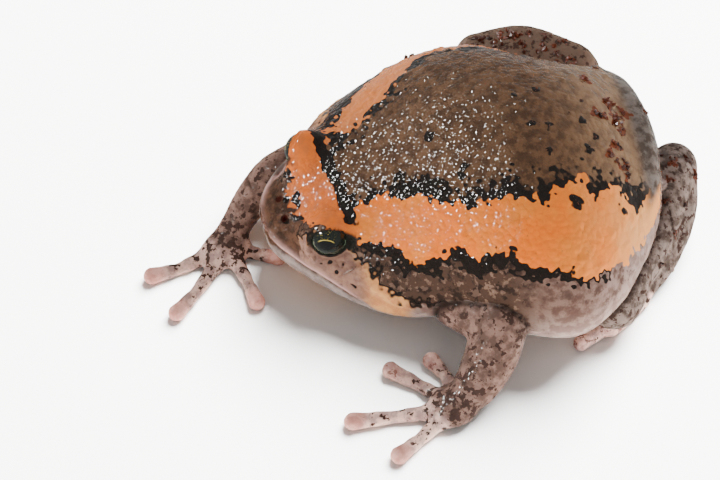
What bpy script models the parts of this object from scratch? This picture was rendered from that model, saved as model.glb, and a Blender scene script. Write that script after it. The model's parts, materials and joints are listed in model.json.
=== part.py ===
"""An Asian painted frog, life size, sitting on the floor. It faces -Y and its left side is +X.

Body and head are one loft of rings, parted by thin cuts. Limbs and digits are tapered tubes that are
cut to the surface they grow from. Lengths below are in millimetres.
"""

import math

import bmesh
import bpy
import numpy as np
from mathutils import Matrix, Vector

MM = 0.001
GAP = 0.3

# Rings of the body from the tip of the snout to the vent. Each row: place along the body, half width
# on the left, half width on the right, top, bottom, height of the widest line, squareness above.
BODY_RINGS = (
    (-35.0, 0.1, 0.1, 10.9, 10.7, 10.8, 2.0),
    (-34.7, 3.4, 3.4, 12.9, 8.6, 10.2, 2.1),
    (-33.6, 6.0, 6.0, 14.3, 7.2, 9.8, 2.3),
    (-31.4, 9.0, 8.8, 15.5, 6.2, 9.5, 2.4),
    (-27.5, 13.4, 12.1, 17.8, 5.4, 9.0, 2.5),
    (-23.0, 17.5, 16.3, 19.8, 4.8, 8.6, 2.4),
    (-17.5, 21.4, 20.4, 22.3, 4.0, 8.8, 2.1),
    (-11.0, 23.6, 24.2, 26.4, 2.8, 9.8, 2.0),
    (-3.0, 25.8, 27.6, 30.7, 0.8, 11.8, 2.0),
    (6.0, 29.4, 28.0, 32.8, -0.4, 12.6, 2.0),
    (14.5, 31.2, 23.8, 31.7, -0.5, 12.4, 2.0),
    (22.5, 27.3, 20.8, 28.2, -0.3, 12.2, 2.0),
    (28.8, 20.0, 20.4, 22.9, 1.0, 12.0, 2.0),
    (33.0, 12.6, 16.2, 21.2, 3.6, 11.4, 2.0),
    (34.8, 6.0, 6.6, 17.0, 7.2, 10.8, 2.0),
    (35.4, 0.1, 0.1, 10.9, 10.7, 10.8, 2.0),
)
# How far the middle of the body lies from a straight line, as (place along, offset to the left)
SPINE = ((-40.0, -2.0), (-27.0, -3.0), (-12.0, -2.5), (8.0, 0.0), (24.0, -1.5), (40.0, -3.5))
RINGS_ALONG = 44
RINGS_AROUND = 28
HEAD_TURN = math.radians(6.2)
HEAD_ROLL = math.radians(6.7)
TURN_START = 2.0
TURN_END = -24.0
ROLL_HEIGHT = 9.0

# Cuts that part head, lower jaw and torso
NECK_AT = -15.0
MOUTH_CORNER_AT = -20.5
MOUTH_LINE = (
    (-37.0, 11.2),
    (-33.0, 11.4),
    (-29.0, 11.3),
    (-26.0, 10.8),
    (-23.5, 9.9),
    (MOUTH_CORNER_AT, 9.2),
    (-18.6, 7.2),
    (-17.4, 3.5),
    (-16.8, -2.0),
)

# Eyes and lids
EYE_RADIUS = 3.3
EYE_OUT = 8.6
EYE_ALONG = -25.6
EYE_HEIGHT = 17.7
LID_THICKNESS = 0.6
LOOK_OUT = math.radians(76)
LOOK_UP = math.radians(26)
UPPER_LID_LIFT = math.radians(50)
LOWER_LID_DROP = math.radians(48)
BROW_AT = (7.4, -24.6, 15.2)
BROW_SIZE = (4.6, 6.2, 4.6)
NOSTRIL = (2.0, -31.7, 15.2)
NOSTRIL_RADIUS = 0.55

# Limbs as (x, y, z, radius) along each tube. The left arm is bent back under the flank, the right one
# reaches ahead of the snout. The left hind foot lies along the flank, the right one beside its shank.
UPPER_ARM = {
    "left": ((13.0, -8.5, 8.6, 4.3), (19.8, -4.2, 9.4, 4.8), (25.8, 0.8, 10.8, 4.4)),
    "right": ((-15.0, -13.0, 8.0, 4.0), (-17.2, -18.5, 8.0, 4.2), (-15.4, -24.4, 8.4, 3.9)),
}
FOREARM = {
    "left": (
        (27.4, 1.6, 11.4, 4.4), (30.6, -0.6, 7.9, 4.5),
        (33.6, -3.4, 4.9, 3.9), (35.6, -6.0, 3.2, 3.0),
    ),
    "right": (
        (-15.0, -25.2, 8.4, 3.9), (-12.4, -31.0, 7.8, 4.0),
        (-9.2, -36.0, 5.6, 3.2), (-6.2, -39.2, 3.4, 2.6),
    ),
}
PALM = {"left": (36.1, -8.3, 2.0, 35.0), "right": (-3.2, -41.4, 2.0, -50.0)}
PALM_SIZE = (3.6, 3.4, 2.2)
FINGERS = {
    "left": (
        ((34.2, -7.2), (29.6, -7.8), (26.0, -9.8)),
        ((34.8, -8.8), (30.9, -12.0), (26.8, -17.0)),
        ((36.0, -10.0), (35.8, -16.6), (35.7, -25.0)),
        ((37.2, -9.4), (40.4, -13.9), (43.4, -18.4)),
    ),
    "right": (
        ((-3.0, -39.4), (-1.0, -36.0), (0.4, -32.6)),
        ((-1.4, -40.6), (4.2, -38.7), (9.2, -37.6)),
        ((-1.2, -42.6), (4.6, -47.2), (9.2, -51.6)),
        ((-2.6, -43.6), (-0.4, -49.4), (0.8, -55.0)),
    ),
}
FINGER_RADII = (1.9, 1.15, 1.05, 1.5)

THIGH = {
    "left": ((10.0, 22.0, 8.0, 6.0), (18.0, 23.5, 7.0, 6.0), (22.0, 22.5, 6.2, 5.0)),
    "right": ((-10.0, 22.0, 8.4, 6.0), (-20.6, 17.6, 8.8, 6.2), (-29.4, 11.0, 8.4, 5.0)),
}
SHANK = {
    "left": ((20.5, 22.5, 6.0, 4.6), (10.5, 31.2, 6.8, 4.7), (-0.3, 37.4, 9.0, 4.5)),
    "right": ((-32.2, 9.8, 8.8, 5.0), (-31.4, 17.5, 9.6, 5.4), (-27.2, 25.6, 9.2, 4.8)),
}
FOOT = {
    "left": (
        (-2.9, 38.9, 8.2, 4.3), (5.2, 37.4, 5.4, 3.9),
        (12.4, 33.0, 3.2, 3.5), (17.2, 28.4, 2.0, 3.1),
    ),
    "right": (
        (-27.4, 27.0, 7.4, 4.3), (-33.2, 25.8, 4.8, 3.7),
        (-37.4, 20.8, 2.6, 3.4), (-38.4, 16.8, 1.9, 3.1),
    ),
}
TOES = {
    "left": (
        ((15.0, 28.6), (15.1, 27.3), (15.2, 26.0)),
        ((16.0, 27.6), (16.8, 25.6), (17.4, 23.6)),
        ((17.2, 27.4), (20.0, 22.4), (22.6, 18.4)),
        ((18.8, 28.0), (23.3, 22.4), (26.6, 16.2)),
        ((19.8, 28.2), (22.4, 25.4), (24.6, 22.0)),
    ),
    "right": (
        ((-35.2, 17.4), (-34.0, 16.4), (-33.0, 15.3)),
        ((-36.0, 16.0), (-34.7, 13.8), (-33.6, 11.3)),
        ((-37.2, 15.4), (-35.8, 9.2), (-34.6, 4.8)),
        ((-38.6, 15.6), (-38.0, 8.2), (-36.5, 1.8)),
        ((-40.2, 17.3), (-41.2, 13.8), (-41.5, 10.3)),
    ),
}
TOE_RADII = (1.6, 1.25, 1.2, 1.35)
SPADE = (1.4, 2.6, 1.2)
LIP_INSET = 0.25

COLOURS = {
    "head": (0.45, 0.21, 0.10),
    "lower_jaw": (0.50, 0.36, 0.34),
    "torso": (0.24, 0.15, 0.10),
    "eye": (0.02, 0.02, 0.015),
    "lid": (0.20, 0.12, 0.09),
    "limb": (0.33, 0.22, 0.19),
    "digit": (0.50, 0.30, 0.26),
}


def clear_scene():
    for obj in list(bpy.data.objects):
        bpy.data.objects.remove(obj, do_unlink=True)


def material(name, colour, roughness=0.35):
    made = bpy.data.materials.new(name)
    made.use_nodes = True
    shader = made.node_tree.nodes["Principled BSDF"]
    shader.inputs["Base Color"].default_value = (*colour, 1.0)
    shader.inputs["Roughness"].default_value = roughness
    shader.inputs["Metallic"].default_value = 0.0
    return made


def through(points, count):
    """count points, evenly spaced by row, on a smooth curve through the rows of points."""
    rows = np.array(points, float)
    if len(rows) == 2:
        return rows[0] + np.linspace(0, 1, count)[:, None] * (rows[1] - rows[0])
    before = 2 * rows[0] - rows[1]
    after = 2 * rows[-1] - rows[-2]
    ext = np.vstack([before, rows, after])
    at = np.linspace(0, len(rows) - 1, count)
    i = np.minimum(at.astype(int), len(rows) - 2)
    t = (at - i)[:, None]
    a, b, c, d = ext[i], ext[i + 1], ext[i + 2], ext[i + 3]
    return 0.5 * (2 * b + (c - a) * t + (2 * a - 5 * b + 4 * c - d) * t**2 + (3 * b - a - 3 * c + d) * t**3)


def turned(x, y, z):
    """The straight body's points with the head rolled and turned to its left, bit by bit along the neck."""
    steps = np.linspace(40.0, -40.0, 801)
    share = np.clip((TURN_START - steps) / (TURN_START - TURN_END), 0, 1)
    share = share * share * (3 - 2 * share)
    heading = HEAD_TURN * share
    spine_x = np.concatenate([[0], np.cumsum(np.sin(heading[1:]) * 0.1)])
    spine_y = 40.0 - np.concatenate([[0], np.cumsum(np.cos(heading[1:]) * 0.1)])
    order = steps[::-1]
    roll = HEAD_ROLL * np.interp(y, order, share[::-1])
    turn = np.interp(y, order, heading[::-1])
    up = z - ROLL_HEIGHT
    side = x * np.cos(roll) + up * np.sin(roll)
    height = up * np.cos(roll) - x * np.sin(roll) + ROLL_HEIGHT
    along, offset = through(SPINE, 61).T
    out_x = np.interp(y, along, offset) + np.interp(y, order, spine_x[::-1]) + side * np.cos(turn)
    out_y = np.interp(y, order, spine_y[::-1]) + side * np.sin(turn)
    return np.stack([out_x, out_y, height], axis=-1)


def place_on_head(x, y, z):
    return Vector(turned(np.array(x, float), np.array(y, float), np.array(z, float)).tolist())


def mesh_object(name, vertices, faces):
    mesh = bpy.data.meshes.new(name)
    mesh.from_pydata([tuple(v) for v in vertices], [], faces)
    obj = bpy.data.objects.new(name, mesh)
    bpy.context.scene.collection.objects.link(obj)
    return obj


def body(name, grow=0.0):
    """The whole of head and torso as one closed loft, swollen by grow."""
    rings = through(BODY_RINGS, RINGS_ALONG)
    angle = np.arange(RINGS_AROUND) * 2 * math.pi / RINGS_AROUND
    cos, sin = np.cos(angle), np.sin(angle)
    points = []
    for y, left, right, top, bottom, wide, square in rings:
        above = sin > 0
        power = np.where(above, 2 / square, 1.0)
        x = np.sign(cos) * np.abs(cos) ** power * np.where(cos > 0, left, right)
        z = wide + np.sign(sin) * np.abs(sin) ** power * np.where(above, top - wide, wide - bottom)
        points.append(turned(x, np.full_like(x, y), z))
    grid = np.array(points)
    n, m = RINGS_ALONG, RINGS_AROUND
    vertices = list(grid[1:-1].reshape(-1, 3)) + [grid[0].mean(axis=0), grid[-1].mean(axis=0)]
    nose, tail = len(vertices) - 2, len(vertices) - 1
    faces = []
    for j in range(m):
        k = (j + 1) % m
        faces.append((nose, j, k))
        faces.append((tail, (n - 3) * m + k, (n - 3) * m + j))
        for i in range(n - 3):
            faces.append((i * m + j, (i + 1) * m + j, (i + 1) * m + k, i * m + k))
    obj = mesh_object(name, np.array(vertices), faces)
    return finish_shape(obj, grow)


def finish_shape(obj, grow=0.0):
    """Faces outwards, swollen by grow along the normals; a shape that isn't grown is flat on the floor."""
    work = bmesh.new()
    work.from_mesh(obj.data)
    bmesh.ops.remove_doubles(work, verts=work.verts, dist=1e-4)
    bmesh.ops.recalc_face_normals(work, faces=work.faces)
    work.normal_update()
    for vertex in work.verts:
        vertex.co += vertex.normal * grow
        if grow <= 0:
            vertex.co.z = max(vertex.co.z, 0.0)
    work.to_mesh(obj.data)
    work.free()
    return obj


def tube(name, path, sides=2, grow=0.0, samples=6):
    """A tapered tube with round ends through rows of (x, y, z, radius)."""
    rows = through(path, samples)
    first, last = rows[0], rows[-1]
    start = first[:3] - rows[1][:3]
    end = last[:3] - rows[-2][:3]
    start /= np.linalg.norm(start)
    end /= np.linalg.norm(end)
    bend = (0.45, 0.9, 1.35)
    round_start = [(*(first[:3] + start * first[3] * math.sin(a)), first[3] * math.cos(a)) for a in bend]
    round_end = [(*(last[:3] + end * last[3] * math.sin(a)), last[3] * math.cos(a)) for a in bend]
    rows = np.array(round_start[::-1] + rows.tolist() + round_end)
    curve = bpy.data.curves.new(name, "CURVE")
    curve.dimensions = "3D"
    curve.bevel_depth = 1.0
    curve.bevel_resolution = sides
    curve.use_fill_caps = True
    spline = curve.splines.new("POLY")
    spline.points.add(len(rows) - 1)
    for point, row in zip(spline.points, rows):
        point.co = (*row[:3], 1.0)
        point.radius = row[3] + grow
    guide = bpy.data.objects.new(name + "_guide", curve)
    bpy.context.scene.collection.objects.link(guide)
    graph = bpy.context.evaluated_depsgraph_get()
    mesh = bpy.data.meshes.new_from_object(guide.evaluated_get(graph))
    bpy.data.objects.remove(guide, do_unlink=True)
    obj = bpy.data.objects.new(name, mesh)
    bpy.context.scene.collection.objects.link(obj)
    finish_shape(obj)
    return obj


def ball(name, centre, sizes, turn=None, segments=16, grow=0.0):
    work = bmesh.new()
    bmesh.ops.create_uvsphere(work, u_segments=segments, v_segments=segments * 5 // 8, radius=1.0)
    sizes = [size + grow for size in sizes]
    shape = Matrix.Diagonal((*sizes, 1.0))
    if turn is not None:
        shape = turn @ shape
    bmesh.ops.transform(work, matrix=Matrix.Translation(centre) @ shape, verts=work.verts)
    mesh = bpy.data.meshes.new(name)
    work.to_mesh(mesh)
    work.free()
    obj = bpy.data.objects.new(name, mesh)
    bpy.context.scene.collection.objects.link(obj)
    return obj


def largest_surface(mesh):
    """Keeps only the largest closed surface of a mesh."""
    work = bmesh.new()
    work.from_mesh(mesh)
    left = set(work.faces)
    groups = []
    while left:
        stack = [left.pop()]
        group = []
        while stack:
            face = stack.pop()
            group.append(face)
            for edge in face.edges:
                for other in edge.link_faces:
                    if other in left:
                        left.remove(other)
                        stack.append(other)
        groups.append(group)
    groups.sort(key=lambda group: sum(face.calc_area() for face in group))
    for group in groups[:-1]:
        bmesh.ops.delete(work, geom=group, context="FACES")
    work.to_mesh(mesh)
    work.free()


def combine(obj, others, operation, solver="EXACT"):
    """Applies one Boolean a piece in others to obj and removes them."""
    for other in others:
        change = obj.modifiers.new("change", "BOOLEAN")
        change.operation = operation
        change.solver = solver
        change.object = other
        graph = bpy.context.evaluated_depsgraph_get()
        mesh = bpy.data.meshes.new_from_object(obj.evaluated_get(graph))
        obj.modifiers.clear()
        obj.data = mesh
        bpy.data.objects.remove(other, do_unlink=True)
    largest_surface(obj.data)
    return obj


def block(name, corners_low, corners_high, axes=None, centre=(0, 0, 0)):
    """A box between two corners in the frame of axes at centre."""
    low, high = Vector(corners_low), Vector(corners_high)
    work = bmesh.new()
    bmesh.ops.create_cube(work, size=1.0)
    shape = Matrix.Translation((low + high) / 2) @ Matrix.Diagonal((*(high - low), 1.0))
    frame = Matrix.Translation(centre)
    if axes is not None:
        frame = frame @ axes.to_4x4()
    bmesh.ops.transform(work, matrix=frame @ shape, verts=work.verts)
    mesh = bpy.data.meshes.new(name)
    work.to_mesh(mesh)
    work.free()
    obj = bpy.data.objects.new(name, mesh)
    bpy.context.scene.collection.objects.link(obj)
    return obj


def front_region(name, back):
    """Everything ahead of the neck cut, whose plane turns with the head."""
    centre = place_on_head(0, back, ROLL_HEIGHT)
    side = (place_on_head(1, back, ROLL_HEIGHT) - centre).normalized()
    up = Vector((0, 0, 1))
    axes = Matrix((side, up.cross(side), up)).transposed()
    return block(name, (-40, -60, -30), (40, 0, 50), axes, centre)


def jaw_region(name, lift):
    """The space of the lower jaw: under the line of the mouth, and ahead of the hinge of the jaw."""
    line = [(y + lift * 0.5, z + lift) for y, z in MOUTH_LINE]
    outline = line + [(-45.0, -2.0), (-45.0, line[0][1])]
    points = []
    for x in (-22.0, 22.0):
        points += [place_on_head(x, y, z) for y, z in outline]
    n = len(outline)
    faces = [tuple(range(n)), tuple(range(2 * n - 1, n - 1, -1))]
    faces += [(i, i + n, (i + 1) % n + n, (i + 1) % n) for i in range(n)]
    obj = mesh_object(name, points, faces)
    return finish_region(obj)


def finish_region(obj):
    work = bmesh.new()
    work.from_mesh(obj.data)
    bmesh.ops.triangulate(work, faces=work.faces)
    bmesh.ops.recalc_face_normals(work, faces=work.faces)
    work.to_mesh(obj.data)
    work.free()
    return obj


def eye_axes(side):
    """Centre of an eye, and its frame: x out through the pupil, y along the opening, z up."""
    sign = 1 if side == "left" else -1
    centre = place_on_head(sign * EYE_OUT, EYE_ALONG, EYE_HEIGHT)
    flat_x = sign * math.sin(LOOK_OUT) * math.cos(LOOK_UP)
    flat_y = -math.cos(LOOK_OUT) * math.cos(LOOK_UP)
    ahead = place_on_head(sign * EYE_OUT + flat_x, EYE_ALONG + flat_y, EYE_HEIGHT + math.sin(LOOK_UP))
    look = (ahead - centre).normalized()
    along = Vector((0, 0, 1)).cross(look).normalized()
    return centre, Matrix((look, along, look.cross(along))).transposed()


def lid_space(name, side, tilt, grow):
    """Half of space behind a lid's edge: tilt turns the edge up from the middle of the eye."""
    centre, axes = eye_axes(side)
    turn = Matrix.Rotation(-tilt, 3, "Y")
    return block(name, (-20, -20, -grow), (20, 20, 20), axes @ turn, centre)


def make_eye(side):
    centre, axes = eye_axes(side)
    frame = axes.to_4x4()
    eye = ball("eye_" + side, centre, [EYE_RADIUS] * 3, frame)
    inner, outer = EYE_RADIUS + GAP, EYE_RADIUS + GAP + LID_THICKNESS
    lids = []
    for name in ("upper_lid_", "lower_lid_"):
        lid = ball(name + side, centre, [outer] * 3, frame, segments=16)
        hollow = ball("hollow", centre, [inner] * 3, frame, segments=16)
        lids.append((lid, hollow))
    (upper, hollow), (lower, hollow_2) = lids
    above = lid_space("above", side, UPPER_LID_LIFT, 0)
    combine(upper, [above], "INTERSECT", "MANIFOLD")
    combine(upper, [hollow], "DIFFERENCE", "MANIFOLD")
    below = lid_space("below", side, math.pi - LOWER_LID_DROP, 0)
    combine(lower, [below], "INTERSECT", "MANIFOLD")
    above = lid_space("above", side, UPPER_LID_LIFT, GAP)
    combine(lower, [above, hollow_2], "DIFFERENCE", "MANIFOLD")
    socket = ball("socket", centre, [outer + GAP] * 3, frame, segments=16)
    return [eye, upper, lower], socket


def make_body():
    torso = body("torso")
    combine(torso, [front_region("front", NECK_AT + GAP)], "DIFFERENCE")
    head = body("head")
    brows = [ball("brow", place_on_head(sign * BROW_AT[0], *BROW_AT[1:]), BROW_SIZE) for sign in (1, -1)]
    combine(head, brows, "UNION")
    combine(head, [front_region("front", NECK_AT)], "INTERSECT")
    jaw = body("lower_jaw", -LIP_INSET)
    combine(jaw, [front_region("front", NECK_AT)], "INTERSECT")
    combine(jaw, [jaw_region("mouth", 0.0)], "INTERSECT")
    combine(head, [jaw_region("mouth", GAP)], "DIFFERENCE")
    made = [torso, head, jaw]
    for side, sign in (("left", 1), ("right", -1)):
        pieces, socket = make_eye(side)
        combine(head, [socket], "DIFFERENCE")
        spot = place_on_head(sign * NOSTRIL[0], NOSTRIL[1], NOSTRIL[2])
        dent = ball("dent", spot, [NOSTRIL_RADIUS] * 3, segments=8)
        combine(head, [dent], "DIFFERENCE")
        made += pieces
    return made


def flat_path(points, radii, height_share=0.86):
    """A digit's path on the floor: its points with a radius each, at the height that leaves a small flat."""
    rows = through(points, len(radii))
    return [(x, y, radius * height_share, radius) for (x, y), radius in zip(rows, radii)]


def palm(name, side, grow=0.0):
    x, y, z, turn = PALM[side]
    return ball(name, (x, y, z), PALM_SIZE, Matrix.Rotation(math.radians(turn), 4, "Z"), grow=grow)


def spade(name, side, grow=0.0):
    """The shovel-like tubercle under the inner edge of the foot."""
    rows = np.array(FOOT[side])
    along = rows[3] - rows[2]
    inner = np.array([along[1], -along[0]]) * (1 if side == "left" else -1)
    inner /= np.linalg.norm(inner)
    spot = (rows[2][0] + inner[0] * 3.0, rows[2][1] + inner[1] * 3.0, SPADE[2])
    turn = Matrix.Rotation(math.atan2(along[1], along[0]) - math.pi / 2, 4, "Z")
    return ball(name, spot, SPADE, turn, segments=10, grow=grow)


def foot(name, side, grow=0.0):
    made = tube(name, FOOT[side], 3, grow)
    if grow:
        return made
    return combine(made, [spade("spade", side)], "UNION")


def make_limbs(side):
    made = []
    upper = combine(tube("upper_arm_" + side, UPPER_ARM[side], 3), [body("b", GAP)], "DIFFERENCE")
    lower = combine(
        tube("forearm_" + side, FOREARM[side], 3),
        [body("b", GAP), tube("u", UPPER_ARM[side], 3, GAP)],
        "DIFFERENCE",
    )
    hand = finish_shape(palm("hand_" + side, side))
    combine(hand, [tube("f", FOREARM[side], 3, GAP), body("b", GAP)], "DIFFERENCE")
    made += [upper, lower, hand]
    before = []
    for number, points in enumerate(FINGERS[side], 1):
        path = flat_path(points, FINGER_RADII)
        finger = tube(f"finger_{number}_{side}", path)
        cutters = [palm("p", side, GAP), tube("f", FOREARM[side], 3, GAP), body("b", GAP)]
        cutters += [tube("n", other, grow=GAP) for other in before]
        before = [path]
        made.append(combine(finger, cutters, "DIFFERENCE", "MANIFOLD"))
    thigh = combine(tube("thigh_" + side, THIGH[side], 3), [body("b", GAP)], "DIFFERENCE")
    shank = combine(
        tube("shank_" + side, SHANK[side], 3),
        [body("b", GAP), tube("t", THIGH[side], 3, GAP)],
        "DIFFERENCE",
    )
    paw = foot("foot_" + side, side)
    combine(
        paw,
        [body("b", GAP), tube("s", SHANK[side], 3, GAP), tube("t", THIGH[side], 3, GAP)],
        "DIFFERENCE",
    )
    made += [thigh, shank, paw]
    before = []
    for number, points in enumerate(TOES[side], 1):
        path = flat_path(points, TOE_RADII)
        toe = tube(f"toe_{number}_{side}", path)
        cutters = [foot("f", side, GAP), spade("s", side, GAP), body("b", GAP)]
        cutters += [tube("s", SHANK[side], 3, GAP), tube("t", THIGH[side], 3, GAP)]
        cutters += [tube("n", other, grow=GAP) for other in before]
        before = [path]
        made.append(combine(toe, cutters, "DIFFERENCE", "MANIFOLD"))
    return made


def colour_of(name):
    for key in ("head", "lower_jaw", "torso", "eye"):
        if name.startswith(key):
            return COLOURS[key]
    if "lid" in name:
        return COLOURS["lid"]
    if name.startswith(("finger", "toe")):
        return COLOURS["digit"]
    return COLOURS["limb"]


def main():
    clear_scene()
    parts = bpy.data.collections.new("painted_frog")
    bpy.context.scene.collection.children.link(parts)
    made = make_body() + make_limbs("left") + make_limbs("right")
    points = np.array([v.co for obj in made for v in obj.data.vertices])
    low, high = points.min(axis=0), points.max(axis=0)
    middle = Vector(((low[0] + high[0]) / 2, (low[1] + high[1]) / 2, low[2]))
    for obj in made:
        obj.data.transform(Matrix.Scale(MM, 4) @ Matrix.Translation(-middle))
        for old in obj.users_collection:
            old.objects.unlink(obj)
        parts.objects.link(obj)
        obj.data.materials.clear()
        obj.data.materials.append(material("skin_" + obj.name, colour_of(obj.name)))
        obj.data.shade_smooth()
    print("middle of the floor plan in mm", [round(c, 2) for c in middle])
    print("size in mm", np.round(high - low, 2))


main()
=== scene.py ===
# %% [markdown]
# # A painted frog, life size
# The frog sits on its belly with both hands spread on the floor and its hind legs folded under its
# flanks. Its solid model is already packed as plain pieces for head, jaw, trunk and every part of the
# limbs. This lesson grows one continuous skin over those pieces, fits wet eyes into it and paints the
# back by rule.

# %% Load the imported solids
import json
import math

import bmesh
import bpy
import numpy as np
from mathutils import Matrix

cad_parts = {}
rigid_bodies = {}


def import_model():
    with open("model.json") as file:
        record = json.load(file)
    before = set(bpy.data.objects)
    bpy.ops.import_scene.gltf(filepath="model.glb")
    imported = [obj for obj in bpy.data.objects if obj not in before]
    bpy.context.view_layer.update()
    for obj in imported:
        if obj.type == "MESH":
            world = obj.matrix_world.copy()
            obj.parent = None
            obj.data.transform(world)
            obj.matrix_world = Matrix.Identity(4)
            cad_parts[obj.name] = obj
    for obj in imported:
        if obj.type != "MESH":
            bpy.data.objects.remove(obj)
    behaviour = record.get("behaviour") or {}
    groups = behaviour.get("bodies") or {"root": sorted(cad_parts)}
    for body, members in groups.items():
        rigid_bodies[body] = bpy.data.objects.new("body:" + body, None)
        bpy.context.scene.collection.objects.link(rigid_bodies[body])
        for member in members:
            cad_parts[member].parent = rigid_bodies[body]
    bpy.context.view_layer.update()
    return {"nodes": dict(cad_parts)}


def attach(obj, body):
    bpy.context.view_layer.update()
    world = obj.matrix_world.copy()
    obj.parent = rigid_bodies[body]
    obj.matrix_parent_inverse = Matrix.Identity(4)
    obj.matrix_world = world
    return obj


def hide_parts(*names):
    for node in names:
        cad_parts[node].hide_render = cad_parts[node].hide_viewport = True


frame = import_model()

import openvdb
from mathutils import Matrix, Vector, noise

MM = 0.001
SIDES = {"left": 1.0, "right": -1.0}

# %% [markdown]
# ## Sizes of the body
# The trunk of a frog is a bag that is widest behind the middle. It is described by rings from snout to
# vent: how wide it is on each side, how high and low it reaches, and where its widest line lies. All
# lengths in the shape cells are millimetres in the solid model's own frame before it was centred.

# %% Sizes of trunk and head
PLAN_MIDDLE = (1.02, -6.67)
BODY_RINGS = (
    (-35.0, 0.1, 0.1, 10.9, 10.7, 10.8, 2.0),
    (-34.7, 3.4, 3.4, 12.9, 8.6, 10.2, 2.1),
    (-33.6, 6.0, 6.0, 14.3, 7.2, 9.8, 2.3),
    (-31.4, 9.0, 8.8, 15.5, 6.2, 9.5, 2.4),
    (-27.5, 13.4, 12.1, 17.8, 5.4, 9.0, 2.5),
    (-23.0, 17.5, 16.3, 19.8, 4.8, 8.6, 2.4),
    (-17.5, 21.4, 20.4, 22.3, 4.0, 8.8, 2.1),
    (-11.0, 23.6, 24.2, 26.4, 2.8, 9.8, 2.0),
    (-3.0, 25.8, 27.6, 30.7, 0.8, 11.8, 2.0),
    (6.0, 29.4, 28.0, 32.8, -0.4, 12.6, 2.0),
    (14.5, 31.2, 23.8, 31.7, -0.5, 12.4, 2.0),
    (22.5, 27.3, 20.8, 28.2, -0.3, 12.2, 2.0),
    (28.8, 20.0, 20.4, 22.9, 1.0, 12.0, 2.0),
    (33.0, 12.6, 16.2, 21.2, 3.6, 11.4, 2.0),
    (34.8, 6.0, 6.6, 17.0, 7.2, 10.8, 2.0),
    (35.4, 0.1, 0.1, 10.9, 10.7, 10.8, 2.0),
)
SNOUT, VENT = -35.0, 35.4
SPINE = ((-40.0, -2.0), (-27.0, -3.0), (-12.0, -2.5), (8.0, 0.0), (24.0, -1.5), (40.0, -3.5))
HEAD_TURN = math.radians(6.2)
HEAD_ROLL = math.radians(6.7)
TURN_START, TURN_END, ROLL_HEIGHT = 2.0, -24.0, 9.0


def through(points, count):
    """count rows on a smooth curve through the rows of points."""
    rows = np.array(points, float)
    ext = np.vstack([2 * rows[0] - rows[1], rows, 2 * rows[-1] - rows[-2]])
    at = np.linspace(0, len(rows) - 1, count)
    i = np.minimum(at.astype(int), len(rows) - 2)
    t = (at - i)[:, None]
    a, b, c, d = ext[i], ext[i + 1], ext[i + 2], ext[i + 3]
    bend = (2 * a - 5 * b + 4 * c - d) * t**2 + (3 * b - a - 3 * c + d) * t**3
    return 0.5 * (2 * b + (c - a) * t + bend)


RINGS = through(BODY_RINGS, 600)
print("trunk rings:", len(BODY_RINGS), "widest half on the left", RINGS[:, 1].max().round(1), "mm")

# %% [markdown]
# ## A straight frog inside the turned one
# The head is rolled and turned a little to the frog's left, bit by bit along the neck. Shapes and
# markings are far easier to lay out on a straight frog, so one function takes any point of the posed
# animal back to the straight one, and another goes the other way.

# %% From the pose to the straight frog and back
PLACES = np.linspace(-40.0, 40.0, 801)
share = np.clip((TURN_START - PLACES) / (TURN_START - TURN_END), 0, 1)
share = share * share * (3 - 2 * share)
TURN_AT = HEAD_TURN * share
ROLL_AT = HEAD_ROLL * share
back_turn = TURN_AT[::-1]
middle_x = np.concatenate([[0], np.cumsum(np.sin(back_turn[1:]) * 0.1)])[::-1]
MIDDLE_Y = (40.0 - np.concatenate([[0], np.cumsum(np.cos(back_turn[1:]) * 0.1)]))[::-1]
spine = through(SPINE, 61)
MIDDLE_X = middle_x + np.interp(PLACES, spine[:, 0], spine[:, 1])


def straightened(points):
    """Points of the posed frog as (left, along, up) on the straight one."""
    x, y, z = np.asarray(points, float).T
    along = y.copy()
    for _ in range(5):
        turn = np.interp(along, PLACES, TURN_AT)
        side = (x - np.interp(along, PLACES, MIDDLE_X)) / np.cos(turn)
        along = along + (y - np.interp(along, PLACES, MIDDLE_Y) - side * np.sin(turn))
    roll = np.interp(along, PLACES, ROLL_AT)
    up = z - ROLL_HEIGHT
    left = side * np.cos(roll) - up * np.sin(roll)
    return left, along, side * np.sin(roll) + up * np.cos(roll) + ROLL_HEIGHT


def posed(left, along, up):
    """Points of the straight frog in the posed one's place."""
    roll, turn = np.interp(along, PLACES, ROLL_AT), np.interp(along, PLACES, TURN_AT)
    rise = up - ROLL_HEIGHT
    side = left * np.cos(roll) + rise * np.sin(roll)
    height = rise * np.cos(roll) - left * np.sin(roll) + ROLL_HEIGHT
    x = np.interp(along, PLACES, MIDDLE_X) + side * np.cos(turn)
    y = np.interp(along, PLACES, MIDDLE_Y) + side * np.sin(turn)
    return np.stack([x, y, height], axis=-1)


print("snout sits at", posed(0.0, SNOUT, 10.8).round(1), "mm")

# %% [markdown]
# ## Distance to the trunk
# The skin is found from a distance field: a function that gives, for any point, how far it lies outside
# the frog. Fields add up well. Two flesh parts melt together by a smooth minimum, and a fold is a small
# change of the distance along a line. A mesh can then be drawn through zero at any fineness.

# %% Trunk as a distance field


def ring_at(along):
    """The six ring sizes at places along the body."""
    return [np.interp(along, RINGS[:, 0], RINGS[:, k]) for k in range(1, 7)]


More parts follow.
